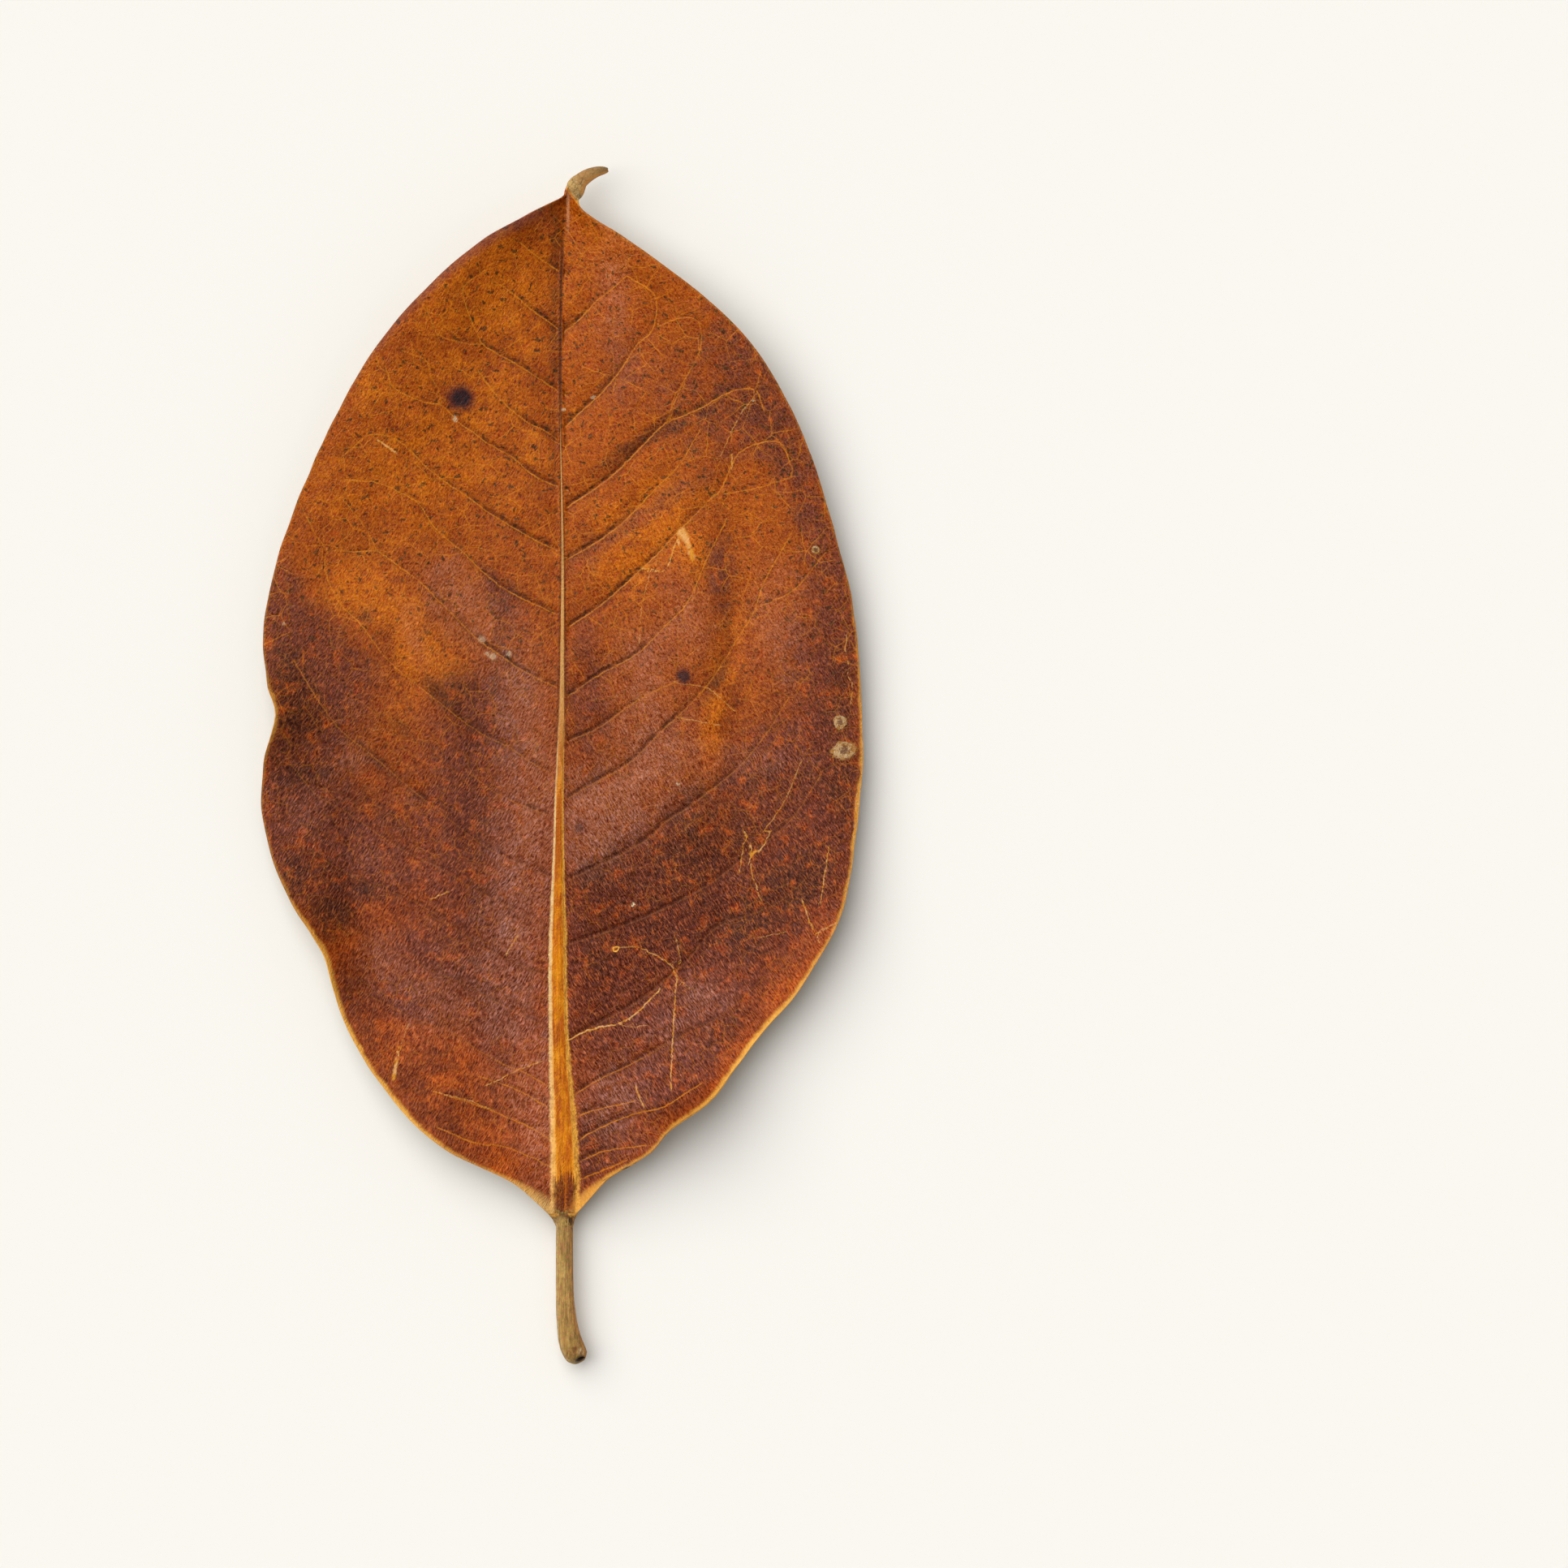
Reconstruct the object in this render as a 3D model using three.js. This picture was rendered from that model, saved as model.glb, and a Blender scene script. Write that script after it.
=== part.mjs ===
// A dried magnolia leaf lying face up: one waved blade with its midrib, side veins, stalk and rolled tip.
// Millimetres, +Z up, +Y towards the tip. The origin is on the surface, under the middle of the leaf's box.
// The leaf is one closed skin: rows of points cross it from the stalk's foot to the tip, above and below.

import * as THREE from "three";

// Driving dimensions
const bladeThickness = 0.75;
const columnsPerSide = 11;
const widestRowGap = 2.3;
const bladeBaseY = -79.1;
const bladeTopY = 99.4;

// Half of the outline on each side of the leaf, as [height up the leaf, distance across], from base to tip.
// The margin is drawn in at two places on the left and one on the right, where it curls up.
const leftMarginPoints = [
  [-79.1, -2.5],
  [-76.9, -4.8],
  [-74.0, -8.0],
  [-70.5, -15.0],
  [-68.3, -19.6],
  [-64.0, -25.2],
  [-57.6, -30.8],
  [-51.1, -35.3],
  [-44.7, -38.6],
  [-38.9, -40.4],
  [-33.9, -41.7],
  [-29.6, -44.2],
  [-23.2, -48.3],
  [-14.6, -51.7],
  [-6.0, -53.1],
  [0.5, -52.7],
  [9.1, -50.4],
  [14.5, -51.9],
  [22.0, -52.8],
  [30.6, -51.7],
  [43.5, -47.8],
  [56.4, -42.4],
  [69.3, -35.6],
  [77.9, -29.5],
  [86.5, -21.3],
  [93.0, -13.3],
  [97.3, -5.8],
  [100.6, -0.2],
];
const rightMarginPoints = [
  [-79.1, 2.5],
  [-76.9, 4.5],
  [-72.6, 8.4],
  [-68.3, 15.6],
  [-64.0, 19.3],
  [-59.7, 25.3],
  [-57.6, 27.5],
  [-53.3, 30.6],
  [-46.8, 35.6],
  [-40.4, 41.2],
  [-33.9, 45.4],
  [-27.5, 48.8],
  [-18.9, 51.0],
  [-8.1, 52.4],
  [0.5, 53.1],
  [17.7, 52.5],
  [28.5, 51.3],
  [41.4, 48.1],
  [54.3, 44.1],
  [65.0, 39.4],
  [73.6, 34.2],
  [82.2, 25.7],
  [88.7, 17.3],
  [93.4, 11.3],
  [96.6, 6.1],
  [98.4, 3.6],
  [99.8, 2.9],
];
const midribLinePoints = [
  [-79.1, 0.4],
  [-73.0, 0.6],
  [-58.0, 0.1],
  [-44.0, -0.6],
  [-8.0, -0.6],
  [13.0, -0.1],
  [35.0, 0],
  [66.0, -0.4],
  [85.0, -0.2],
  [100.6, 0.6],
];

// Where each side vein leaves the midrib.
const leftVeins = [
  -70.5, -65.9, -60.7, -56.6, -46.8, -38, -29.3, -20.1, -9.5, -1.9, 14.1, 27, 38.5, 49.3, 65.5, 81,
];
const rightVeins = [
  -73.3, -66.9, -63.3, -57.9, -48.3, -39.5, -31.3, -20.1, -6, 4.5, 12.4, 24.9, 36.4, 45.7, 60.3, 76.9,
];

// How far up the leaf a row that leaves the midrib at the first number meets the margin.
const leftRowEnds = [
  [-79.1, -79.1],
  [-70.5, -63.5],
  [-56.6, -41.5],
  [-46.8, -27.0],
  [-29.3, -2.5],
  [-20.1, 13.5],
  [-9.5, 25.5],
  [14.1, 49.0],
  [38.5, 65.0],
  [65.5, 80.5],
  [81.0, 89.5],
  [92.5, 96.6],
  [99.4, 100.4],
];
const rightRowEnds = [
  [-79.1, -79.1],
  [-73.3, -65.5],
  [-63.3, -49.5],
  [-57.9, -39.0],
  [-48.3, -25.5],
  [-31.3, -1.0],
  [-20.1, 13.5],
  [-6.0, 31.5],
  [12.4, 51.0],
  [36.4, 72.0],
  [60.3, 88.5],
  [76.9, 95.0],
  [92.5, 98.9],
  [99.4, 99.75],
];
const rowSweep = 1.35;

// Midrib: its half width, and how far it stands out below the blade, up the leaf.
const midribHalfWidthPoints = [
  [-79.1, 2.1],
  [-58, 1.9],
  [-40, 1.5],
  [0, 0.95],
  [40, 0.6],
  [80, 0.35],
  [100.6, 0.25],
];
const midribDepthPoints = [
  [-79.1, 2.0],
  [-58, 1.85],
  [-40, 1.5],
  [0, 1.0],
  [40, 0.6],
  [80, 0.3],
  [100.6, 0.1],
];
// Columns of points on each half of the midrib, and the groove along its edge, as shares of its half width.
const midribColumns = [0.5, 0.9, 1.5];
const midribGroove = 0.12;
const midribGrooveSpread = 0.35;

// Side veins: how far they stand out below and sink in above, and how far a vein bends the blade beside it.
const veinRidge = 0.5;
const veinGroove = 0.28;
const veinReach = 1.3;
// A vein is full from this multiple of the midrib's half width, and fades between two shares of its length.
const veinFullFrom = 1.8;
const veinFadeStart = 0.55;
const veinFadeEnd = 0.95;

// Broad form, as heights of the blade's middle layer above the surface, up the leaf.
const spinePoints = [
  [-79.1, 4.1],
  [-60, 3.1],
  [-40, 2.3],
  [-20, 1.8],
  [0, 1.4],
  [20, 1.25],
  [33, 1.02],
  [50, 1.35],
  [70, 2.2],
  [85, 3.4],
  [100.6, 5.2],
];
const keelSlopePoints = [
  [-79.1, 0.3],
  [-62, 0.08],
  [-40, -0.02],
  [0, 0.0],
  [25, 0.07],
  [50, 0.17],
  [75, 0.3],
  [90, 0.5],
  [97, 0.9],
  [100.6, 1.25],
];
const keelReach = 14;
// The halves rise like a shallow bowl. The rim curls up, or down where the number is negative.
const bowlStart = 0.3;
const rimStart = 0.72;
const leftBowlPoints = [
  [-79.1, 0.3],
  [-60, 3.0],
  [-36, 3.0],
  [-15, 2.4],
  [10, 3.3],
  [40, 4.0],
  [65, 4.2],
  [85, 3.0],
  [97, 1.0],
];
const rightBowlPoints = [
  [-79.1, 0.3],
  [-70, 2.5],
  [-55, 4.5],
  [-30, 5.0],
  [-5, 4.6],
  [20, 4.0],
  [45, 4.0],
  [65, 3.8],
  [85, 2.8],
  [97, 1.0],
];
const leftRimPoints = [
  [-79.1, 0],
  [-60, 0.6],
  [-45, 1.0],
  [-36, 3.8],
  [-26, 2.2],
  [-14, 0.8],
  [-3, 1.0],
  [9.1, 4.4],
  [20, 1.0],
  [40, 0.3],
  [65, 0],
];
const rightRimPoints = [
  [-79.1, 0],
  [-68, 1.2],
  [-61, 4.2],
  [-52, 1.4],
  [-35, 1.6],
  [-15, 0],
  [10, -0.8],
  [40, -0.9],
  [65, -0.9],
  [85, -0.3],
  [97, 0],
];
// Low swells and hollows of the blade, as [across, up the leaf, half width, half length, height].
const swells = [
  [23, 25, 7, 34, 1.3],
  [30.5, 22, 4, 30, -0.9],
  [25, -27, 12, 18, -3.4],
  [-13, -5, 5.5, 42, -0.8],
  [-21.5, -18, 5.5, 38, 1.0],
  [-33, -21, 9, 20, -4.0],
  [-27, 27, 8, 11, 0.9],
  [15, 62, 8, 16, 0.7],
  [12, -10, 6, 26, -0.4],
];

// Stalk: centre line from its rounded foot to the blade, and its half width and half height on the way.
const stalkLine = new THREE.CatmullRomCurve3([
  new THREE.Vector3(2.95, -105.1, 3.9),
  new THREE.Vector3(1.45, -101.9, 3.7),
  new THREE.Vector3(0.65, -97.0, 3.5),
  new THREE.Vector3(0.4, -90.5, 3.35),
  new THREE.Vector3(0.4, -80.2, 3.2),
]);
const stalkHalfWidthPoints = [
  [0, 1.25],
  [0.035, 1.95],
  [0.1, 2.1],
  [0.3, 1.75],
  [0.55, 1.55],
  [1, 1.5],
];
const stalkHalfHeightPoints = [
  [0, 0.8],
  [0.035, 1.35],
  [0.12, 1.6],
  [0.4, 1.35],
  [1, 1.3],
];
const stalkRows = 14;
const stalkRowCrowding = 1.5;
const stalkEdgeAngle = THREE.MathUtils.degToRad(83);
const stalkFlareStart = 0.86;

// Rolled tip: centre line, half width seen from above, and the angles where the roll starts and ends.
const tipLine = new THREE.CatmullRomCurve3([
  new THREE.Vector3(1.45, 99.9, 6.6),
  new THREE.Vector3(1.95, 101.4, 6.9),
  new THREE.Vector3(3.3, 103.3, 7.3),
  new THREE.Vector3(5.5, 104.5, 7.7),
  new THREE.Vector3(7.9, 105.0, 7.9),
]);
const tipHalfWidthPoints = [
  [0, 1.4],
  [0.2, 1.5],
  [0.55, 1.35],
  [0.85, 0.95],
  [1, 0.4],
];
const tipRollStartPoints = [
  [0, -50],
  [1, -45],
];
const tipRollEndPoints = [
  [0, 70],
  [0.12, 130],
  [0.3, 205],
  [1, 215],
];
const tipRows = 14;
const tipRowCrowding = 1.2;
const tipRollReach = 0.22;
const tipThickness = 0.7;
const tipHollow = 0.1;
const tipFlatness = 0.86;

const leafColour = "#9c5420";

// A smooth curve through [position, value] points that never swings past them.
function curveThrough(points) {
  const last = points.length - 1;
  const steepness = (i) => (points[i + 1][1] - points[i][1]) / (points[i + 1][0] - points[i][0]);
  const slopes = points.map((_, i) => {
    const before = steepness(Math.max(i - 1, 0));
    const after = steepness(Math.min(i, last - 1));
    return before * after > 0 ? (2 * before * after) / (before + after) : 0;
  });
  return (position) => {
    const p = THREE.MathUtils.clamp(position, points[0][0], points[last][0]);
    let i = 0;
    while (i < last - 1 && p > points[i + 1][0]) i += 1;
    const [start, from] = points[i];
    const [end, to] = points[i + 1];
    const span = end - start;
    const t = (p - start) / span;
    const eased = t * t * (3 - 2 * t);
    const leaving = t * (1 - t) * (1 - t) * span * slopes[i];
    const arriving = t * t * (t - 1) * span * slopes[i + 1];
    return from + (to - from) * eased + leaving + arriving;
  };
}

const left = {
  margin: curveThrough(leftMarginPoints),
  rowEnd: curveThrough(leftRowEnds),
  bowl: curveThrough(leftBowlPoints),
  rim: curveThrough(leftRimPoints),
  veins: leftVeins,
};
const right = {
  margin: curveThrough(rightMarginPoints),
  rowEnd: curveThrough(rightRowEnds),
  bowl: curveThrough(rightBowlPoints),
  rim: curveThrough(rightRimPoints),
  veins: rightVeins,
};
const midribLine = curveThrough(midribLinePoints);
const midribHalfWidth = curveThrough(midribHalfWidthPoints);
const midribDepth = curveThrough(midribDepthPoints);
const spine = curveThrough(spinePoints);
const keelSlope = curveThrough(keelSlopePoints);

// Height of the blade's middle layer. It lies flat where it would sink into the surface.
function bladeHeight(x, y) {
  const offset = x - midribLine(y);
  const side = offset < 0 ? left : right;
  const distance = Math.abs(offset);
  const share = Math.min(distance / Math.abs(side.margin(y) - midribLine(y)), 1);
  const keel = keelSlope(y) * keelReach * (1 - Math.exp(-distance / keelReach));
  const bowl = side.bowl(y) * THREE.MathUtils.smoothstep(share, bowlStart, 1);
  const rim = side.rim(y) * Math.max((share - rimStart) / (1 - rimStart), 0) ** 2;
  const swell = swells.reduce((sum, [atX, atY, halfX, halfY, height]) => {
    const away = ((x - atX) / halfX) ** 2 + ((y - atY) / halfY) ** 2;
    return sum + height * Math.exp(-away);
  }, 0);
  return Math.max(spine(y) + keel + bowl + rim + swell, bladeThickness / 2);
}

// The rows' places on the midrib: one at each side vein, and more between them where the gap is wide.
function rowPlaces() {
  const fixed = [...new Set([bladeBaseY, ...leftVeins, ...rightVeins, bladeTopY])].sort((a, b) => a - b);
  return fixed.flatMap((place, i) => {
    if (i === 0) return [place];
    const gap = place - fixed[i - 1];
    const steps = Math.ceil(gap / widestRowGap);
    return Array.from({ length: steps }, (_, k) => fixed[i - 1] + (gap * (k + 1)) / steps);
  });
}

// How strongly a side vein shows at a place: 1 on the vein near the midrib, fading towards the margin.
function veinStrength(side, rowY, share) {
  const nearest = Math.min(...side.veins.map((vein) => Math.abs(rowY - vein)));
  const onVein = Math.max(1 - nearest / veinReach, 0);
  return onVein * (1 - THREE.MathUtils.smoothstep(share, veinFadeStart, veinFadeEnd));
}

// Shares of the way from the midrib to the margin: three columns shape the midrib, the rest are even.
function columnShares(halfLength, ribHalfWidth) {
  const shares = midribColumns.map((place, i) =>
    Math.min((place * ribHalfWidth) / halfLength, (i + 1) / columnsPerSide),
  );
  const edge = shares[shares.length - 1];
  const evenCount = columnsPerSide - shares.length;
  const even = Array.from({ length: evenCount }, (_, k) => edge + ((1 - edge) * (k + 1)) / evenCount);
  return [...shares, ...even];
}

// One row of the blade: places on the middle layer with how far the skin lies above and below them.
function bladeRow(rowY) {
  const rootX = midribLine(rowY);
  const ribHalf = midribHalfWidth(rowY);
  const place = (side, share) => {
    const endY = side.rowEnd(rowY);
    const x = rootX + (side.margin(endY) - rootX) * share;
    const y = rowY + (endY - rowY) * share ** rowSweep;
    const fromRib = Math.abs(x - rootX) / ribHalf;
    const vein = veinStrength(side, rowY, share) * THREE.MathUtils.smoothstep(fromRib, 1, veinFullFrom);
    const rib = midribDepth(rowY) * Math.sqrt(Math.max(1 - fromRib ** 2, 0));
    const groove = midribGroove * ribHalf * Math.exp(-(((fromRib - 1) / midribGrooveSpread) ** 2));
    return {
      point: new THREE.Vector3(x, y, bladeHeight(x, y)),
      above: bladeThickness / 2 - groove - veinGroove * vein,
      below: bladeThickness / 2 + rib + veinRidge * vein,
    };
  };
  const halfOf = (side) => {
    const halfLength = Math.abs(side.margin(side.rowEnd(rowY)) - rootX);
    return columnShares(halfLength, ribHalf).map((share) => place(side, share));
  };
  return [...halfOf(left).reverse(), place(right, 0), ...halfOf(right)];
}

// The blade's skin: each place on the middle layer is moved up and down along the blade's own normal.
function bladeSkin() {
  const rows = rowPlaces().map(bladeRow);
  return rows.map((row, i) => {
    const behind = rows[Math.max(i - 1, 0)];
    const ahead = rows[Math.min(i + 1, rows.length - 1)];
    const normals = row.map((_, c) => {
      const across = row[Math.min(c + 1, row.length - 1)].point.clone().sub(row[Math.max(c - 1, 0)].point);
      const along = ahead[c].point.clone().sub(behind[c].point);
      return across.cross(along).normalize();
    });
    const upper = row.map(({ point, above }, c) => point.clone().addScaledVector(normals[c], above));
    const lower = row.map(({ point, below }, c) => point.clone().addScaledVector(normals[c], -below));
    lower.forEach((point) => point.setZ(Math.max(point.z, 0)));
    return { upper, lower };
  });
}

const columnIndices = Array.from({ length: 2 * columnsPerSide + 1 }, (_, c) => c - columnsPerSide);

// The stalk's skin: oval rings, split into an upper and a lower half, that flare into the blade's first row.
function stalkSkin(bladeStart) {
  const halfWidth = curveThrough(stalkHalfWidthPoints);
  const halfHeight = curveThrough(stalkHalfHeightPoints);
  return Array.from({ length: stalkRows }, (_, i) => {
    const along = (i / stalkRows) ** stalkRowCrowding;
    const centre = stalkLine.getPointAt(along);
    const ahead = stalkLine.getTangentAt(along);
    const across = ahead.clone().cross(new THREE.Vector3(0, 0, 1)).normalize();
    const up = across.clone().cross(ahead);
    const flare = THREE.MathUtils.smoothstep(along, stalkFlareStart, 1);
    const ring = (sign, bladeEdge) =>
      columnIndices.map((c, k) => {
        const angle = (c / columnsPerSide) * stalkEdgeAngle;
        return centre
          .clone()
          .addScaledVector(across, halfWidth(along) * Math.sin(angle))
          .addScaledVector(up, sign * halfHeight(along) * Math.cos(angle))
          .lerp(bladeEdge[k], flare);
      });
    return { upper: ring(1, bladeStart.upper), lower: ring(-1, bladeStart.lower) };
  });
}

// The tip's skin: the blade's last row turns into a tongue whose right edge rolls up and over, underside out.
function tipSkin(bladeEnd) {
  const halfWidth = curveThrough(tipHalfWidthPoints);
  const rollStart = curveThrough(tipRollStartPoints);
  const rollEnd = curveThrough(tipRollEndPoints);
  const upward = new THREE.Vector3(0, 0, 1);
  const root = tipLine.getPointAt(0);
  return Array.from({ length: tipRows }, (_, i) => {
    const along = ((i + 1) / tipRows) ** tipRowCrowding;
    const centre = tipLine.getPointAt(along);
    const ahead = tipLine.getTangentAt(along).setZ(0).normalize();
    const across = new THREE.Vector3(ahead.y, -ahead.x, 0);
    const start = THREE.MathUtils.degToRad(rollStart(along));
    const end = THREE.MathUtils.degToRad(rollEnd(along));
    const rightmost = Math.sin(Math.min(end, Math.PI / 2));
    const leftmost = Math.sin(start);
    const outerRadius = (2 * halfWidth(along)) / (rightmost - leftmost);
    const innerRadius = Math.max(outerRadius - tipThickness, tipHollow);
    const rollCentre = (outerRadius * (rightmost + leftmost)) / 2;
    const turn = Math.atan2(across.y, across.x);
    const rolled = THREE.MathUtils.smoothstep(along, 0, tipRollReach);
    const skin = (radius, bladeEdge) =>
      columnIndices.map((c, k) => {
        const angle = start + ((end - start) * (c + columnsPerSide)) / (2 * columnsPerSide);
        const onRoll = centre
          .clone()
          .addScaledVector(across, radius * Math.sin(angle) - rollCentre)
          .addScaledVector(upward, -radius * Math.cos(angle) * tipFlatness);
        return bladeEdge[k].clone().sub(root).applyAxisAngle(upward, turn).add(centre).lerp(onRoll, rolled);
      });
    return { upper: skin(innerRadius, bladeEnd.upper), lower: skin(outerRadius, bladeEnd.lower) };
  });
}

// Joins the rows into one closed body. Both faces are split along the same diagonals.
function skinGeometry(rows) {
  const width = columnIndices.length;
  const points = rows.flatMap(({ upper, lower }) => [...upper, ...lower]);
  const upperAt = (row, column) => row * 2 * width + column;
  const lowerAt = (row, column) => upperAt(row, column) + width;
  const faces = [];
  const quad = (a, b, c, d) => faces.push(a, b, c, a, c, d);
  for (let row = 0; row < rows.length - 1; row += 1) {
    for (let column = 0; column < width - 1; column += 1) {
      const leans = column < columnsPerSide ? 0 : 1;
      const corners = [
        [row, column],
        [row, column + 1],
        [row + 1, column + 1],
        [row + 1, column],
      ];
      const turned = corners.map((_, k) => corners[(k + leans) % 4]);
      quad(...turned.map(([r, c]) => upperAt(r, c)));
      const [a, b, c, d] = turned.map(([r, k]) => lowerAt(r, k));
      quad(a, d, c, b);
    }
    quad(lowerAt(row, 0), upperAt(row, 0), upperAt(row + 1, 0), lowerAt(row + 1, 0));
    const edge = width - 1;
    quad(upperAt(row, edge), lowerAt(row, edge), lowerAt(row + 1, edge), upperAt(row + 1, edge));
  }
  const end = rows.length - 1;
  for (let column = 0; column < width - 1; column += 1) {
    quad(lowerAt(0, column), lowerAt(0, column + 1), upperAt(0, column + 1), upperAt(0, column));
    quad(upperAt(end, column), upperAt(end, column + 1), lowerAt(end, column + 1), lowerAt(end, column));
  }
  const geometry = new THREE.BufferGeometry().setFromPoints(points);
  geometry.setIndex(faces);
  geometry.computeVertexNormals();
  return geometry;
}

const bladeRows = bladeSkin();
const skinRows = [...stalkSkin(bladeRows[0]), ...bladeRows, ...tipSkin(bladeRows[bladeRows.length - 1])];
const leafMaterial = new THREE.MeshStandardMaterial({ color: leafColour, roughness: 0.55, metalness: 0 });
const leaf = new THREE.Mesh(skinGeometry(skinRows), leafMaterial);
leaf.name = "magnolia_leaf";

const part = new THREE.Group();
part.add(leaf);

export default part;
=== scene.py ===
# The looks of a dried magnolia leaf that lies face up on a pale table.
# Its skin is worked out in millimetres, with +Y towards the tip, and turned into metres at the end.

import math
from types import SimpleNamespace

import bmesh
import bpy
import numpy as np
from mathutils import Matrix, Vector, noise
from mathutils.kdtree import KDTree


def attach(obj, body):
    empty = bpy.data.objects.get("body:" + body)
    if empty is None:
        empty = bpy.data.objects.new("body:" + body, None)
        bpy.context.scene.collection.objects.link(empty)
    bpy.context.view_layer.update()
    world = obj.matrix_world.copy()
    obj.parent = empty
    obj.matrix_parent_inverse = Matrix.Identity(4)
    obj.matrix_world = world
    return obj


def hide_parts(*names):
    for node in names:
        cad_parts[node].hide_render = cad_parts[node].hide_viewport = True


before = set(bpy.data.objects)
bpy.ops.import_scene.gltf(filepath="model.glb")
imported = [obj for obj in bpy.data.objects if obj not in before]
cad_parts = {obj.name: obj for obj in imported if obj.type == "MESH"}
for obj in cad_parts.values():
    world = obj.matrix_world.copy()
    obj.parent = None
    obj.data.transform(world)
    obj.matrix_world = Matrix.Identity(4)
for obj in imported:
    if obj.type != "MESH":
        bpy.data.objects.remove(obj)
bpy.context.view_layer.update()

MM = 0.001

# Skin: how many rows and columns of points it has, and how they crowd together.
COLUMNS_PER_SIDE = 75
COLUMN_CROWDING = 1.25
HOLLOW_ROWS = 3
STALK_ROWS = 22
BLADE_ROWS = 266
TIP_ROWS = 22
ROW_CROWDING = 0.25
# How far apart the two sheets of faces start, in rows, before their points are placed.
SHEET_GAP = 0.5

# Outline, as (height up the leaf, distance across), from the base to the tip.
BLADE_BASE_Y = -79.1
BLADE_TOP_Y = 99.4
LEFT_MARGIN = [
    (-79.1, -2.5), (-76.9, -4.8), (-74.0, -8.0), (-70.5, -15.0), (-68.3, -19.6), (-64.0, -25.2),
    (-57.6, -30.8), (-51.1, -35.3), (-44.7, -38.6), (-38.9, -40.4), (-33.9, -41.7), (-29.6, -44.2),
    (-23.2, -48.3), (-14.6, -51.7), (-6.0, -53.1), (0.5, -52.7), (9.1, -50.4), (14.5, -51.9),
    (22.0, -52.8), (30.6, -51.7), (43.5, -47.8), (56.4, -42.4), (69.3, -35.6), (77.9, -29.5),
    (86.5, -21.3), (93.0, -13.3), (97.2, -5.8), (99.8, -0.8), (100.5, 0.5),
]
RIGHT_MARGIN = [
    (-79.1, 2.5), (-76.9, 4.5), (-72.6, 8.4), (-68.3, 15.6), (-64.0, 19.3), (-59.7, 25.3), (-57.6, 27.5),
    (-53.3, 30.6), (-46.8, 35.6), (-40.4, 41.2), (-33.9, 45.4), (-27.5, 48.8), (-18.9, 51.0),
    (-8.1, 52.4), (0.5, 53.1), (17.7, 52.5), (28.5, 51.3), (41.4, 48.1), (54.3, 44.1), (65.0, 39.4),
    (73.6, 34.2), (82.2, 25.7), (88.7, 17.3), (93.4, 10.6), (96.6, 5.5), (98.4, 3.35), (99.3, 2.95),
    (99.8, 2.95),
]
MIDRIB_LINE = [
    (-79.1, 0.4), (-73.0, 0.5), (-62.0, 0.1), (-51.0, -0.5), (-38.0, -0.85), (-8.0, -0.65), (13.0, -0.1),
    (35.0, 0), (66.0, -0.4), (85.0, -0.2), (100.6, 0.6),
]
# How far up the leaf a row that leaves the midrib at the first number meets the margin.
LEFT_ROW_ENDS = [
    (-79.1, -79.1), (-70.5, -63.5), (-56.6, -41.5), (-46.8, -27.0), (-29.3, -2.5), (-20.1, 13.5),
    (-9.5, 25.5), (14.1, 49.0), (38.5, 65.0), (65.5, 80.5), (81.0, 89.5), (92.5, 96.6), (99.4, 100.5),
]
RIGHT_ROW_ENDS = [
    (-79.1, -79.1), (-73.3, -65.5), (-63.3, -49.5), (-57.9, -39.0), (-48.3, -25.5), (-31.3, -1.0),
    (-20.1, 13.5), (-6.0, 31.5), (12.4, 51.0), (36.4, 72.0), (60.3, 88.5), (76.9, 95.0), (92.5, 98.3),
    (99.4, 99.3),
]
ROW_SWEEP = 1.35
MARGIN_RIPPLE = 0.16
MARGIN_RIPPLE_FROM = 0.9
MARGIN_RIPPLE_SIZE = 4.5
MARGIN_RIPPLE_SEED = 3.7
MARGIN_SAMPLE_GAP = 0.4

# Broad form of the blade's middle layer, as in the solid.
MIDDLE_ABOVE_UNDERSIDE = 0.375
SPINE = [
    (-79.1, 4.1), (-60, 3.1), (-40, 2.3), (-20, 1.8), (0, 1.4), (20, 1.25), (33, 1.02), (50, 1.35),
    (70, 2.2), (85, 3.4), (100.6, 5.2),
]
KEEL_SLOPE = [
    (-79.1, 0.3), (-62, 0.08), (-40, -0.02), (0, 0.0), (25, 0.07), (50, 0.17), (75, 0.28), (90, 0.4),
    (97, 0.62), (100.6, 0.9),
]
KEEL_REACH = 14
BOWL_START = 0.3
RIM_START = 0.72
LEFT_BOWL = [
    (-79.1, 0.3), (-60, 3.0), (-36, 3.0), (-15, 2.4), (10, 3.3), (40, 4.0), (65, 4.2), (85, 3.0),
    (97, 1.0),
]
RIGHT_BOWL = [
    (-79.1, 0.3), (-70, 2.5), (-55, 4.5), (-30, 5.0), (-5, 4.6), (20, 4.0), (45, 4.0), (65, 3.8),
    (85, 2.8), (97, 1.0),
]
LEFT_RIM = [
    (-79.1, 0), (-60, 0.6), (-45, 1.0), (-36, 3.8), (-26, 2.2), (-14, 0.8), (-3, 1.0), (9.1, 4.4),
    (20, 1.0), (40, 0.3), (65, 0),
]
RIGHT_RIM = [
    (-79.1, 0), (-68, 1.2), (-61, 4.2), (-52, 1.4), (-35, 1.6), (-15, 0), (10, -0.8), (40, -0.9),
    (65, -0.9), (85, -0.3), (97, 0),
]
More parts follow.
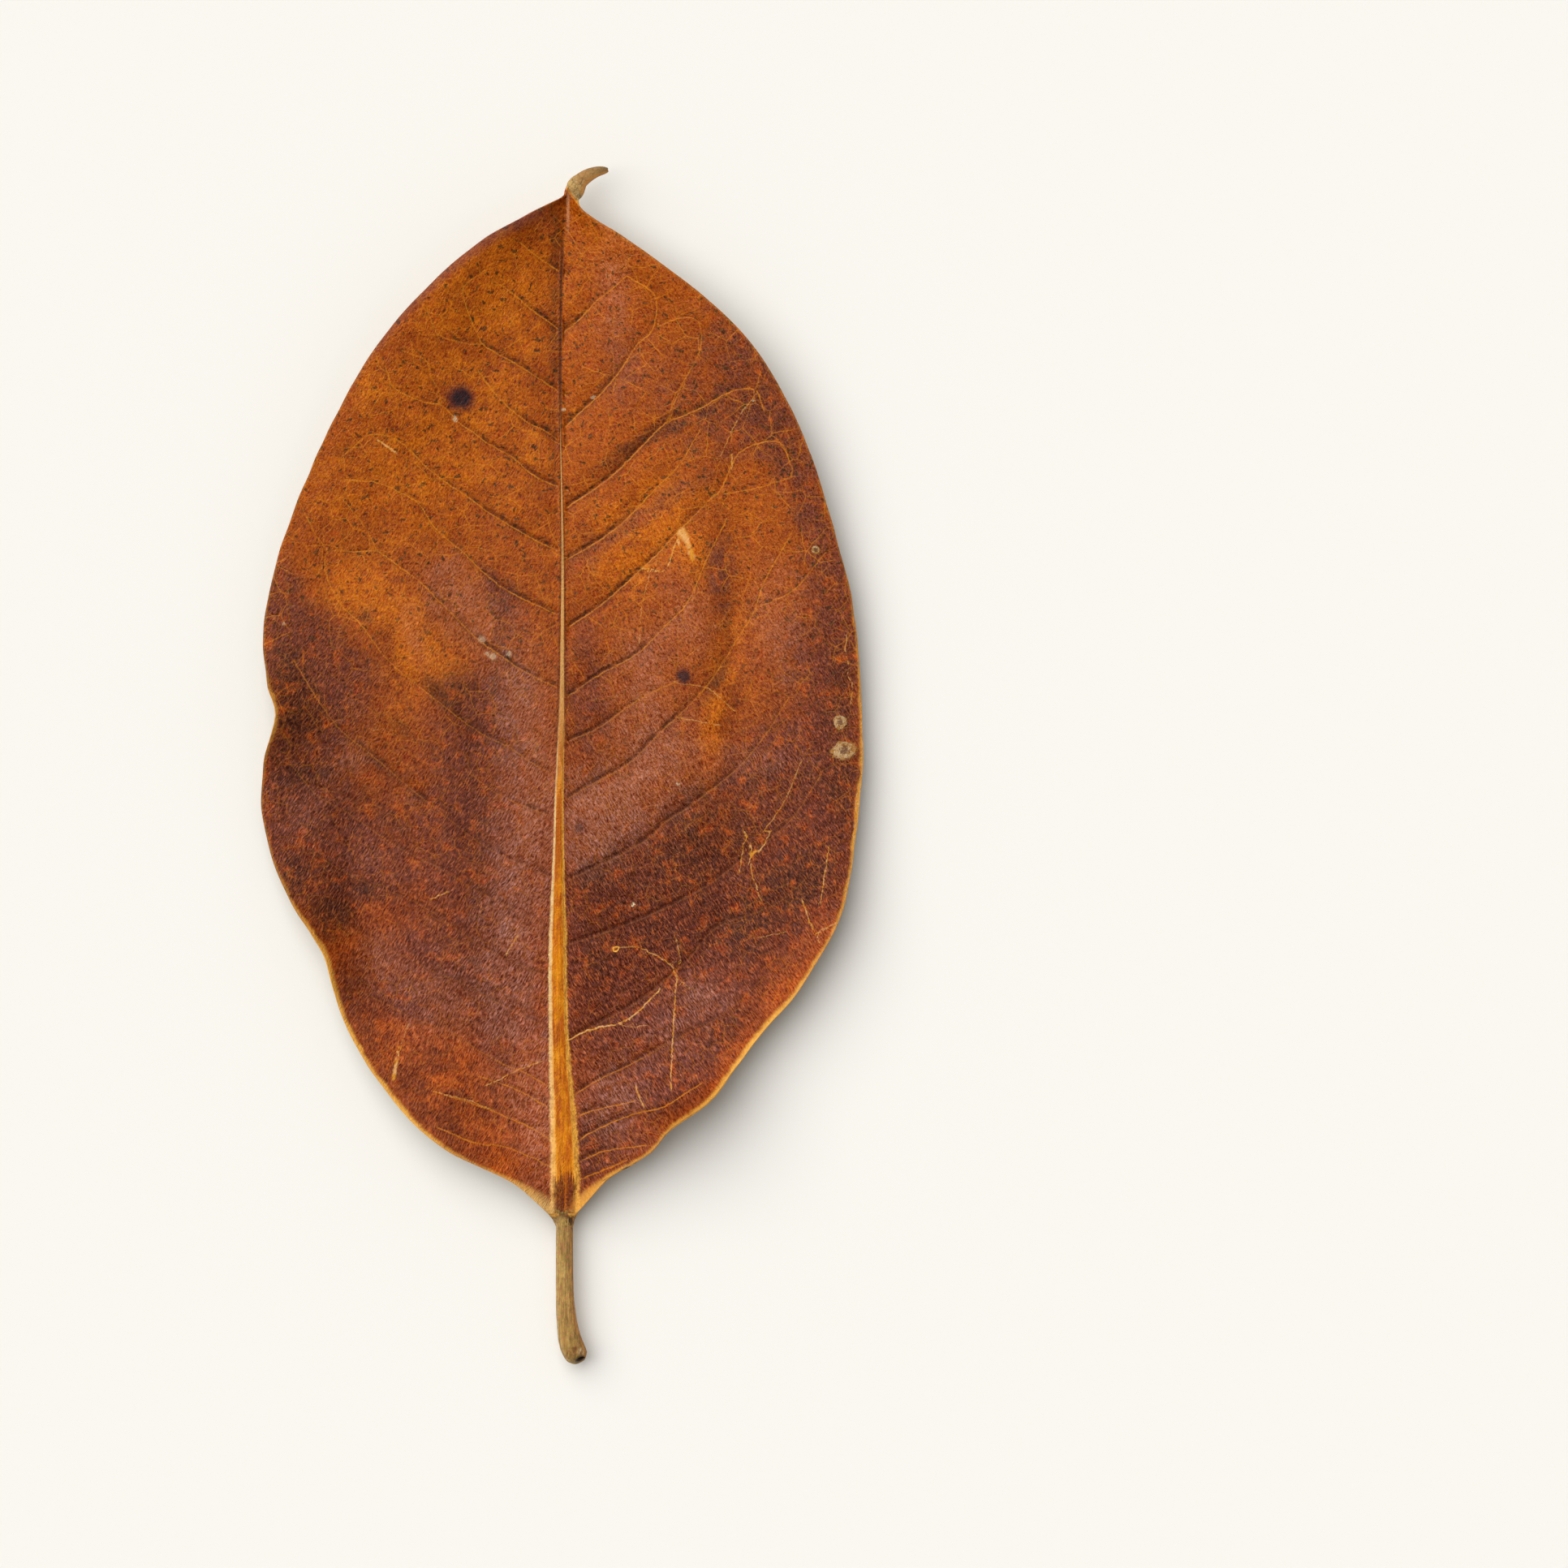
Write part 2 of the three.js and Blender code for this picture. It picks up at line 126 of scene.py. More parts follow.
# Low swells and hollows, as (across, up the leaf, half width, half length, height).
SWELLS = [
    (23, 25, 7, 34, 1.3), (30.5, 22, 4, 30, -0.9), (25, -27, 12, 18, -3.4), (-13, -5, 5.5, 42, -0.8),
    (-21.5, -18, 5.5, 38, 1.0), (-33, -21, 9, 20, -4.0), (-27, 27, 8, 11, 0.9), (15, 62, 8, 16, 0.7),
    (12, -10, 6, 26, -0.4),
]

# Thickness above and below the middle layer, and how the blade thins towards its margin.
SKIN_ABOVE = 0.125
SKIN_BELOW = 0.375
EDGE_THINNING = 0.5
EDGE_THINNING_REACH = 3.0

# Midrib: the ridge below, and on the face a low band with a groove along each side.
RIB_HALF_WIDTH = [(-79.1, 2.1), (-58, 1.9), (-40, 1.5), (0, 0.95), (40, 0.6), (80, 0.35), (100.6, 0.25)]
RIB_DEPTH = [(-79.1, 2.0), (-58, 1.85), (-40, 1.5), (0, 1.0), (40, 0.6), (80, 0.3), (100.6, 0.1)]
BAND_HALF_WIDTH = [
    (-79.1, 2.3), (-65.5, 2.15), (-58.3, 1.9), (-44, 1.5), (-29.6, 1.36), (-18.9, 0.97), (-0.9, 0.61),
    (14.1, 0.47), (34.9, 0.29), (49.3, 0.18), (64, 0.12),
]
BAND_HEIGHT = 0.3
BAND_FULL_WIDTH = 1.5
BAND_GROOVE = 0.16
BAND_GROOVE_AT = 1.25
BAND_GROOVE_SPREAD = 0.3

# Side veins, as lines of (across, up the leaf) from the midrib outwards, from the tip to the base.
LEFT_VEINS = [
    [(-0.4, 87.3), (-3.2, 89.1), (-6.1, 91.3)],
    [(-0.6, 77.2), (-3.7, 79.4), (-6.1, 81.2), (-8.7, 83.4), (-10.8, 84.8)],
    [(-0.5, 66.2), (-3.2, 67.9), (-6.1, 69.8), (-9, 71.5), (-11.5, 72.9), (-14, 74.4), (-15.1, 76.5),
     (-16.8, 80.8), (-17.3, 84.4), (-14.7, 86.5)],
    [(-0.8, 57.7), (-3.2, 59.3), (-6.1, 60.7), (-9.7, 63.6), (-12.5, 66.5), (-14, 68.6)],
    [(-0.5, 49.3), (-3.2, 50.4), (-6.1, 52.1), (-9, 54.7), (-13.3, 57.1), (-15.8, 59), (-18.3, 60.7),
     (-21.2, 63.6), (-24.7, 64.3), (-29.8, 66.9), (-30.5, 68.6)],
    [(-0.4, 37.9), (-4.7, 39.9), (-9.7, 42.8), (-13.3, 45), (-16.1, 47.1), (-20.4, 50), (-24, 52.8),
     (-27.6, 56.4), (-29.8, 57.9), (-34.1, 58.3), (-36.9, 56.1)],
    [(-0.4, 26.6), (-4.7, 28.5), (-9.7, 31), (-14, 34.2), (-17.6, 37.8), (-22.6, 42.1), (-25.5, 46.4),
     (-29, 48.5), (-32.6, 50), (-36.9, 50.4)],
    [(-0.4, 13.6), (-6.1, 16.3), (-10.4, 19.1), (-15.4, 22.7), (-18.3, 25.6), (-21.9, 29.2),
     (-25.5, 32.8), (-29, 35.3), (-32.6, 37.8), (-36.9, 37.8), (-41.2, 37.8), (-41.9, 35.6), (-40.9, 31.3)],
    [(-0.6, -2.2), (-5.4, 0.5), (-9.7, 3.4), (-14, 5.5), (-18.3, 8.4), (-21.9, 11.3), (-25.5, 14.1),
     (-29, 17), (-31.9, 19.9), (-35.5, 24.9), (-39.1, 28.5), (-40.9, 31.8)],
    [(-0.8, -9.8), (-2.5, -8.8), (-6.1, -7.4), (-11.8, -4.8), (-16.1, -1.6)],
    [(-0.8, -20.4), (-6.8, -17.7), (-13.3, -14.6), (-19, -10.3), (-22.6, -7.4), (-26.9, -4.1),
     (-30.5, -0.9), (-34.8, 2.7), (-39.1, 6.2), (-43.4, 12), (-46.5, 17.1)],
    [(-0.8, -29.9), (-7.5, -26), (-14.7, -22.4), (-21.9, -18.1), (-27.6, -15.3), (-31.2, -13.1),
     (-38.4, -8.1), (-43.4, -5.2), (-47, -0.9)],
    [(-0.8, -38.1), (-7.5, -35.3), (-14.7, -31.8), (-21.9, -26.7), (-27.6, -23.4), (-32.6, -21.7),
     (-38.4, -18.9), (-43.4, -16)],
    [(-0.8, -47.4), (-6.1, -44.7), (-11.8, -41.8), (-18.3, -38.2), (-21.9, -36.8), (-27.6, -33.9),
     (-32.6, -31.8), (-39.1, -28.5)],
    [(-0.8, -57.9), (-5.8, -54.7), (-10.4, -52.8), (-15.4, -50), (-20.4, -46.8), (-26.2, -44.7),
     (-31.9, -41.8), (-35.5, -39.9)],
    [(-0.8, -61.6), (-6.1, -58.3), (-9.7, -56.6), (-13.3, -55.4)],
    [(-0.8, -66.9), (-6.1, -63.7), (-9.5, -62.3), (-13.3, -60.6), (-21.2, -58)],
    [(-0.8, -71.6), (-6.1, -68.9), (-10.4, -67.3), (-15.3, -66.6), (-20.4, -64.5)],
]
RIGHT_VEINS = [
    [(0.2, 76.6), (3.5, 79.4), (6.1, 82.2), (8.2, 83.7), (10.4, 85.5)],
    [(0.1, 59.6), (3.2, 62.6), (7.5, 66.5), (10.7, 70.5), (13.3, 74.4), (16.1, 77.2), (16.4, 83),
     (12.5, 85.8)],
    [(0.2, 45.4), (6.1, 49.3), (9.7, 52.1), (13.3, 55.7), (18.3, 60.4), (24, 62.9), (30.5, 66.2),
     (34.3, 66.2), (35.1, 64.3)],
    [(0.4, 36.4), (5.4, 39.2), (10.4, 42.8), (14, 46.4), (16.8, 49.3), (20.4, 52.8), (21.9, 55),
     (23.6, 57.9)],
    [(0.5, 24.2), (6.8, 28.5), (12.5, 33.5), (16.8, 37.5), (21.2, 42.1), (25.5, 46.4), (28.3, 49.3),
     (29.8, 52.8), (31.9, 55.7), (38.4, 57.1), (40.5, 52.8)],
    [(0.5, 12), (6.8, 16.3), (13.3, 19.9), (17.6, 24.2), (21.9, 28.5), (24, 32.8), (25.5, 36.4),
     (28.3, 42.1)],
    [(0.5, 4.1), (6.8, 7), (13.3, 11.7), (19.7, 14.8)],
    [(0.1, -6.4), (5.4, -3.1), (11.8, 0.5), (17.6, 6.2), (21.2, 9.5), (25.5, 14.1), (29.8, 20.6),
     (34.1, 27.7), (35.5, 32), (39.8, 39.9)],
    [(0.1, -20.7), (9.7, -16), (15.4, -12.7), (18, -10.1), (22.2, -7.4), (25.5, -4.9), (30.5, -0.9),
     (35.5, 4.8), (39.1, 10.5)],
    [(0.1, -32), (7.5, -29.6), (15.4, -26.5), (24, -22.2), (32.6, -16), (40.5, -9.5), (44.8, -3.1)],
    [(0.1, -48.8), (7.5, -45.1), (15.4, -40.4), (22.6, -33.9), (26.9, -28.9), (34.1, -26),
     (39.1, -23.6), (44.1, -18.9)],
    [(0.4, -59.3), (6.1, -55.7), (11.1, -53.3), (14, -51.8), (21.2, -47.8), (26.2, -45.4),
     (31.2, -41.8), (35.5, -37.5), (39.8, -33.9)],
    [(0.4, -63.2), (4.7, -61.2), (11.1, -59.7)],
    [(0.5, -67.8), (5.4, -64.7), (8.2, -63.3), (13.3, -61.4), (17.6, -60.4), (23.3, -56.9)],
    [(0.6, -71.5), (6.8, -68.3), (13.3, -67.2)],
    [(0.8, -74.1), (6.1, -71.9), (10.4, -70.1)],
]
# Forks that leave a side vein partway, and loops that join two of them near the margin.
VEIN_FORKS = [
    [(-14, 74.4), (-16.8, 74.6), (-21.9, 76.2), (-23.3, 79.4)],
    [(-21.2, 63.6), (-21.9, 66.5), (-23, 68.6), (-24, 71.5), (-26.6, 72.6)],
    [(-32.6, 37.8), (-34.8, 42.1), (-37.6, 45.7)],
    [(-41.2, 37.8), (-43.4, 40.7), (-45.5, 45)],
    [(16.1, 77.2), (21.9, 79.1), (24, 78.4), (24.7, 75.1), (24, 72.2), (21.2, 67.2), (18.3, 60.4)],
    [(26.9, 47.8), (34.1, 49), (39.8, 50.7)],
    [(34.1, 27.7), (41.2, 31.3), (45.5, 36.4)],
]
VEIN_SAMPLE_GAP = 0.3
# A vein grows shallow along these shares of its way, and its relief starts clear of the midrib, in half
# widths of the midrib.
VEIN_FADE = (0.35, 0.95)
VEIN_FADE_BY = 0.8
FORK_DEPTH = 0.2
VEIN_CLEAR_OF_RIB = (0.8, 1.9)
VEIN_VALLEY = 0.34
VEIN_VALLEY_SPREAD = 2.4
VEIN_GROOVE = 0.1
VEIN_GROOVE_SPREAD = 0.8
VEIN_RIDGE = 0.4
VEIN_RIDGE_SPREAD = 0.7
# The face puckers a little between the veins.
PUCKER_HEIGHT = 0.22
PUCKER_SIZE = 7.0
PUCKER_SEED = 0.4
PUCKERS_FROM_MARGIN = (0.5, 8)

# Stalk: its centre line from the foot to the blade, and its half width and half height on the way.
STALK_LINE = [
    (2.95, -105.1, 3.9), (1.45, -101.9, 3.7), (0.65, -97.0, 3.5), (0.4, -90.5, 3.35), (0.4, -80.2, 3.2),
]
STALK_HALF_WIDTH = [(0, 1.25), (0.035, 1.95), (0.1, 2.1), (0.3, 1.75), (0.55, 1.55), (1, 1.5)]
STALK_HALF_HEIGHT = [(0, 0.8), (0.035, 1.35), (0.12, 1.6), (0.4, 1.35), (1, 1.3)]
STALK_ROW_CROWDING = 0.7
STALK_EDGE_ANGLE = math.radians(83)
STALK_FLARE_START = 0.945
STALK_RIDGE = 0.045
STALK_RIDGES_ROUND = 3.2
STALK_RIDGES_ALONG = 4
STALK_RIDGES_START = 9
STALK_RIDGE_SEED = 5.1
# The foot's end is cut a little slanted and has a hollow: (size of the ring, depth) from the bottom out.
FOOT_SLANT = 0.55
FOOT_SLANT_REACH = 0.12
FOOT_HOLLOW = [(0.15, 0.9), (0.4, 0.8), (0.5, 0.1)]
FOOT_HOLLOW_ASIDE = 0.58
FOOT_HOLLOW_UP = 0.3

# Rolled tip: centre line, half width from above, and the angles where the roll starts and ends.
TIP_LINE = [
    (1.65, 99.8, 6.6), (1.75, 100.4, 6.7), (2.25, 101.5, 6.9), (3.15, 102.9, 7.2), (4.6, 104.0, 7.5),
    (6.2, 104.7, 7.75), (8.2, 105.05, 7.9),
]
TIP_HALF_WIDTH = [
    (0, 1.3), (0.07, 1.5), (0.2, 1.7), (0.36, 1.5), (0.42, 1.3), (0.6, 1.1), (0.78, 0.85), (0.93, 0.6),
    (1, 0.35),
]
TIP_ROLL_START = [(0, -50), (1, -45)]
TIP_ROLL_END = [(0, 60), (0.12, 148), (0.24, 232), (1, 238)]
TIP_ROW_CROWDING = 1.2
TIP_ROLL_REACH = 0.08
TIP_THICKNESS = 0.45
TIP_HOLLOW = 0.1
TIP_FLATNESS = 0.86
# The rolled tongue has an orange line along the edge where it turns over, at this angle of the roll.
TIP_EDGE_TURN = 124
TIP_EDGE_SPREAD = 22

# Colour zones of the face, and further down zones of painted sheen, as (across, up the leaf, half width, half
# height, tilt in degrees, strength).
ZONE_FALL = 0.7
AMBER_ZONES = [
    (-36.5, 32, 4.4, 3.0, -40, 1.0), (-27.5, 24.5, 3.4, 8.5, 20, 1.0), (-43.6, 29.5, 4, 2.5, -10, 0.6),
    (-29.5, 15.5, 4, 3, 20, 0.55), (-30, 8.8, 3, 3, 0, 0.45), (-45.2, 4.2, 2, 1.6, 0, 0.6),
    (-14.2, -1, 2.5, 2.5, 0, 0.45), (-19.6, -3.8, 3, 1.5, 20, 0.5), (-33.8, -2.8, 2.5, 2, 0, 0.45),
    (-20.5, 21, 3, 3, 0, 0.4), (-13.3, 62, 12, 14, 0, 0.5), (-8, 87, 7, 9, 0, 0.6),
    (-20, 82, 9, 6, 35, 0.55), (-31.5, -26.5, 4, 3, -25, 0.6), (14, 44, 11, 5, 35, 0.85),
    (12, 37, 8, 4, 35, 0.6), (-31, 64, 6, 12, 0, 0.4), (-19, 14.5, 4, 5, 0, 0.4),
    (26.3, 3, 2, 10, 0, 0.8), (-31, -46.5, 5, 4, -30, 0.5), (-38.5, -31, 3, 2.5, -30, 0.45),
    (-35, -17, 5, 3, -25, 0.35), (-19, -51, 8, 7, -20, 0.6), (-36, -25, 6, 2.5, -20, 0.35),
    (32, -50, 6.5, 2, 48, 0.75), (40, -38.5, 6, 2.5, 42, 0.75), (22, -59, 8, 2.5, 28, 0.3),
    (46.5, -28, 4, 5, 0, 0.85), (-30, 48, 14, 9, 0, 0.45), (7, 92, 5, 7, 0, 0.45), (-4, 84, 4, 6, 0, 0.3),
    (29, 47, 10, 5, 30, 0.15), (-38, 4, 5, 4, 0, 0.25), (24, 37, 5, 5, 30, 0.5),
    (-9, -67, 7, 9, -20, 0.5), (31, 26, 4, 8, 0, 0.35), (-40, -34, 3, 6, -30, 0.4),
    (30, 17.5, 7, 2, 60, 0.5), (34, 10, 4, 4, 0, 0.2), (22.5, -15, 4, 4, 0, 0.6),
    (-4.5, -46, 4, 27, 0, 0.6), (-17, 23, 5, 8, 20, 0.3), (5, -52, 4, 22, 0, 0.5),
    (-17, -63, 8, 4, -25, 0.35),
]
PURPLE_ZONES = [
    (-49.1, 21, 5, 9, 0, 0.9), (-39.1, 15.5, 7.5, 7, 0, 0.65), (-43.5, 22.8, 3, 4, 0, 0.8),
    (-12, 32, 2, 5, 20, 0.5), (-50, 9, 4, 8, 0, 0.95), (-47, -8.1, 7.2, 10, 0, 1.0),
    (-37, -18, 9, 9, 0, 0.65), (-37.5, -41, 3, 3, 0, 0.6), (-24, -33.5, 6, 1.8, -30, 0.5),
    (-28.5, -42, 6, 2.2, -30, 0.5), (-12, -29.6, 6, 22, 0, 0.4), (-14, 9, 7, 9, 0, 0.75),
    (-9, 26, 4, 12, 0, 0.4), (-19, -10, 9, 13, 0, 0.65), (-25, -36, 7, 9, -25, 0.45),
    (48.5, 18, 4.5, 18, 0, 0.9), (42, -1, 12, 8, 0, 0.95), (12, -17, 12, 5, 30, 0.9),
    (50, -4, 4, 12, 0, 1.0), (24, -28, 20, 13, 30, 0.85), (9.7, -41.8, 11.5, 14.3, 0, 0.7),
    (45, -16, 7, 9, 0, 0.8), (-44, 6, 7, 9, 0, 0.6), (8, -70, 5, 5, 0, 0.4), (-3.5, 96, 2.5, 3, 0, 0.45),
    (36, 63, 4.5, 20, 23, 0.65), (44, 44, 3, 12, 12, 0.4), (28, 34, 3, 9, 0, 0.6),
    (4, 40, 3, 12, 0, 0.25), (14, 44, 14, 2, 34, 0.5), (4.5, 12, 4, 14, 0, 0.65), (30, 58, 8, 8, 0, 0.2),
    (6.1, -69, 5, 5.7, 0, 0.6), (-11, -44, 5, 8, 0, 0.3), (18, -56, 12, 5, 28, 0.6),
    (-22, -62, 10, 3, -25, 0.3), (27, -41, 7, 4, 35, 0.5), (10, 72, 6, 10, 0, 0.3),
    (-49, 31, 3, 7, 0, 0.5), (24, 66, 11, 11, 0, 0.42), (42, 20, 5, 10, 0, 0.45),
]
DARK_ZONES = [
    (26, -12, 12, 6, 20, 0.5), (20, -27, 18, 11, 25, 0.4), (-38, -20.3, 8, 1.8, -25, 0.65),
    (-40, -25.7, 5, 3, -20, 0.75), (-48, -19.5, 2.5, 4, -20, 0.55), (-41, -30, 3, 4, 20, 0.4),
    (-48, 13, 4, 9, 0, 0.7), (-34.6, 26.5, 1.3, 1.8, 0, 0.5), (-43.6, 8.6, 2.5, 3, 0, 0.55),
    (-45, -1.2, 4, 2.3, 0, 0.5), (-32.5, 0, 5, 1.3, -40, 0.5), (-25, -5.2, 3, 1.2, -35, 0.5),
    (-17.1, 13.6, 1.5, 1.5, 0, 0.5), (-12.5, 14, 1.5, 2.2, 0, 0.5), (-22.3, 13.3, 4, 1.0, -43, 0.5),
    (50, -6, 3, 7, 0, 0.4), (37, 60, 4, 16, 23, 0.35), (22.5, -6, 4, 3, 35, 0.3), (-47, -3, 5, 4, 0, 0.3),
    (-14.7, -19.6, 3, 21.5, 0, 0.35), (28.8, 30, 1.5, 12, 0, 0.4), (-1.4, 73.6, 1.4, 22, 0, 0.5),
    (14, 57.5, 13, 1.6, 34, 0.6), (6.1, -35.3, 3, 16, 0, 0.3), (41, -22, 9, 5, 35, 0.6),
    # The narrow zone at (-1.0, 93) is painted shade beside the crease by the tip.
    (-1.0, 93, 0.8, 5, 0, 0.45), (7, -66, 4, 6, 0, 0.5), (-20, 10, 3, 8, 40, 0.35),
    (49, 12, 3, 11, 0, 0.5), (38, -2, 9, 3, 0, 0.4), (26, 62, 9, 2, 20, 0.45), (-27, 6, 9, 1.6, -40, 0.4),
    (-32, -8, 9, 1.8, -40, 0.4), (5.5, -18.5, 4, 2, 35, 0.6), (-11, 24, 2, 6, 10, 0.45),
    (29, -46.5, 5, 2.2, 42, 0.5), (19, -60, 6, 1.8, 28, 0.5), (34, -25.5, 6, 2.5, 30, 0.45),
    (26.8, 14.5, 5, 1.4, 60, 0.6), (34, -31.5, 4, 2.5, 30, 0.35),
]
# Painted sheen, where the glossy face would catch the light, in the same form.
PAINTED_SHEEN_ZONES = [
    (9, 84, 3.5, 15, 4, 0.4), (-17, 26, 5, 7, 25, 0.5), (-6, -8, 5, 18, 0, 0.5),
    (-10, -34, 5, 18, 0, 0.5), (16, 4, 6.5, 11, 20, 0.6), (-20.7, 33, 4, 4.5, 0, 0.5),
    (-37.6, 1, 4, 4, 0, 0.35), (-26.5, 23, 1.6, 6, 20, 0.4), (-4.5, -62, 4, 12, 0, 0.6),
    (38, 26, 5, 11, 0, 0.42), (22, 27, 4, 8, 20, 0.4), (14, 20, 5, 5, 0, 0.4), (-32, -34, 5, 4, -30, 0.4),
    (26, -41, 5, 4, 30, 0.45), (-46, -8, 4, 4.6, 0, 0.3), (7, -8, 7, 6, 35, 0.95),
    (-32, -16, 8.6, 4, 0, 0.2), (35, 1, 8, 3, 0, 0.35), (-8, 14, 4, 8, 0, 0.5), (18, -47, 6, 6, 0, 0.35),
    (9, -58, 5, 6, 0, 0.4), (-22, -42, 7, 8, 0, 0.35), (4.5, -14, 3, 4, 0, 0.7), (8, -62, 5, 7, 0, 0.3),
]
# Stretches of the margin where its pale line is strong, in the same form.
PALE_MARGIN_ZONES = [
    (-38, -42, 12, 22, 0, 0.9), (-27, -61, 9, 9, 0, 1), (32, -48, 20, 20, 0, 1), (-51, 9, 3.5, 6, 0, 0.5),
    (52, -5, 4, 22, 0, 0.6), (0, -78, 14, 8, 0, 1),
]

# Scratches, as (half width, strength, line).
SCRATCH_SAMPLE_GAP = 0.15
SCRATCHES = [
    (0.28, 1.0, [(1.4, -48.3), (3.9, -47.1), (6.8, -46.2), (9.7, -45.7), (12.5, -44.2), (14.7, -42.2),
                 (16.4, -40.4)]),
    (0.15, 0.6, [(9.7, -45.7), (11.8, -46.2), (14, -46.1)]),
    (0.2, 0.8, [(14.3, -32.5), (17.1, -33.9), (19.4, -35.6), (20, -37.5)]),
    (0.22, 0.9, [(20.3, -36.4), (20, -40.4), (19.7, -45.4), (19.4, -51.1), (19.3, -56.1)]),
    (0.2, 0.6, [(20, -37.5), (21.9, -38.9)]),
    (0.2, 0.7, [(20.4, -31.8), (20.9, -34.2)]),
    (1.5, 1.0, [(21.4, 40.9), (21.8, 40.2)]), (0.8, 1.0, [(21.9, 40.0), (22.8, 37.6)]),
    (0.22, 0.9, [(20, 39.2), (18.1, 34.6), (15, 34.9)]),
    (0.15, 0.6, [(15.4, 33.9), (14, 27.7), (13.6, 22.7)]),
    (0.2, 0.5, [(21.2, 8.4), (26.9, 7.4)]),
    (0.2, 0.6, [(20.7, 14.6), (25.5, 13.8), (29.8, 10.3)]),
    (0.2, 0.7, [(50.2, 22), (50.0, 19.5), (51.0, 17.7), (50.2, 16.5), (51.3, 14.5), (51.1, 12)]),
    (0.35, 0.8, [(52, -6), (51.6, -11.7)]),
    (0.18, 0.6, [(41.9, -0.2), (39.1, -6.7), (35.5, -11.7)]),
    (0.3, 1.0, [(32.6, -12.4), (34.1, -15.3), (35.5, -14.6)]),
    (0.2, 0.8, [(36.9, -11.3), (34.8, -15.3), (33.3, -15.6), (33.6, -18.9), (34.8, -22.7)]),
    (0.2, 0.7, [(32.2, -13.1), (31.5, -17.7)]),
    (0.2, 0.8, [(47, -15.3), (45.8, -23.2)]),
    (0.22, 0.8, [(42.7, -24.6), (44.1, -28.2), (45.1, -30.3)]),
    (0.3, 0.7, [(45.2, -29.3), (47.5, -28.2)]),
    (0.15, 0.5, [(34.8, -30.3), (38.4, -29.6)]),
    (0.55, 1.0, [(-28.8, -50), (-29.6, -54.3)]),
    (0.2, 0.7, [(-12.5, -56.1), (-9, -54.3), (-4.7, -52.6)]),
    (0.2, 0.8, [(-9.4, -32.5), (-8.5, -31)]),
    (0.2, 0.8, [(-22.3, -23.2), (-21.2, -22.7)]),
    (0.35, 1.0, [(-31.6, 56.9), (-30.2, 55.9)]),
    (0.15, 0.6, [(33.6, 64.7), (31.2, 61.4), (28.3, 55.4)]),
    (0.25, 0.9, [(30, 54.3), (30, 53.6)]),
    (0.2, 0.7, [(-21.2, -57.9), (-16.1, -59.3), (-13.3, -60.4)]),
    (0.15, 0.6, [(-27.6, -46.8), (-29, -51.1)]),
    (0.25, 0.9, [(13.3, -57.6), (14, -59.3)]),
    (0.25, 0.5, [(9.9, -32.2), (13.2, -32.0)]),
]
# Dark spots with a purple halo, as (across, up the leaf, radius, halo radius, strength).
DARK_SPOTS = [(-17.9, 65.0, 1.9, 3.3, 1.0), (21.5, 15.8, 1.05, 2.1, 0.8), (2.9, -11.0, 0.9, 2.0, 0.45)]
# Pale specks, as (across, up the leaf, radius, strength).
WHITE_SPECKS = [
    (-19.0, 61.3, 0.6, 0.5), (5.4, 65.2, 0.45, 0.45), (0.2, 63.0, 0.4, 0.5), (12.5, -24.6, 0.35, 1.0),
    (-49.1, 25.2, 0.35, 0.4), (-14.3, 22.4, 0.8, 0.3), (-12.4, 19.4, 0.85, 0.35), (-9.5, 19.8, 0.6, 0.35),
    (-13.4, 19.9, 0.6, 0.35), (33.8, 64.4, 0.3, 0.4), (20.4, -3.2, 0.3, 0.5),
]
# A tiny yellow ring, as (across, up the leaf, radius, half the line's width).
YELLOW_RING = (9.4, -32.1, 0.5, 0.2)
# Pale scale marks by the right margin, as (across, up the leaf, half width, half height, lightness).
SCALE_MARKS = [(49.1, 7.8, 1.3, 1.4, 1.0), (49.7, 2.7, 2.2, 1.7, 1.0), (44.8, 38.2, 0.75, 0.75, 1.0)]
SCALE_MARK_HEIGHT = 0.3
SCALE_MARK_SLOPE = (1.35, 0.75)

# Where the face's finish changes, each as two heights up the leaf.
UPPER_PART = (-35, 50)
LIGHT_VEINS_ABOVE = (-25, 45)
LIGHT_VEINS_BELOW = (-46, -60)
RIB_LINE_BELOW = (52, 66)
GOLDEN_RIB_BELOW = (-12, 18)
RED_BASE_BELOW = (-66.5, -65)
STALK_END_BELOW = (-78.8, -78.3)
SHOULDERS_BELOW = (-78, -71.5)
CREASE_FADES = (90, 96)
RIM_SHEEN_ABOVE = (52, 90)
RIM_SHEEN_WIDENS = (60, 95)
MARGIN_LINE_ENDS = (98.8, 100)
# A pale stripe of painted sheen runs up to the tongue, and the tongue's felt starts past a slanting line.
FOLD_SHEEN_ABOVE = (92.5, 98.5)
FOLD_SHEEN_ASIDE = 1.05
TONGUE_ABOVE = (98.4, 99.0)
TONGUE_SLANT = 1.39
TONGUE_LINE_FROM = (102.7, 103.0)
TONGUE_FELT_FROM = (103.2, 103.5)
# A side vein's light line, at its faintest and on a fork, and its groove, darkened with painted shade, which
# lies a little above the light line on the wall turned from the light and fades along these shares of the
# vein's way.
LEAST_VEIN_LIGHT = 0.15
FORK_LIGHT = 0.7
DARK_VEIN_FADE = (0.2, 0.6)
DARK_VEIN_FADE_BY = 0.7
GROOVE_ABOVE_LINE = (0, 0.35, 0)
# The fine wrinkles of the face: how much finer than 1 mm they are across and along, and how they lean.
WRINKLE_STRETCH = (4.6, 0.85, 0)
WRINKLE_LEAN = (0.5, 0.85)
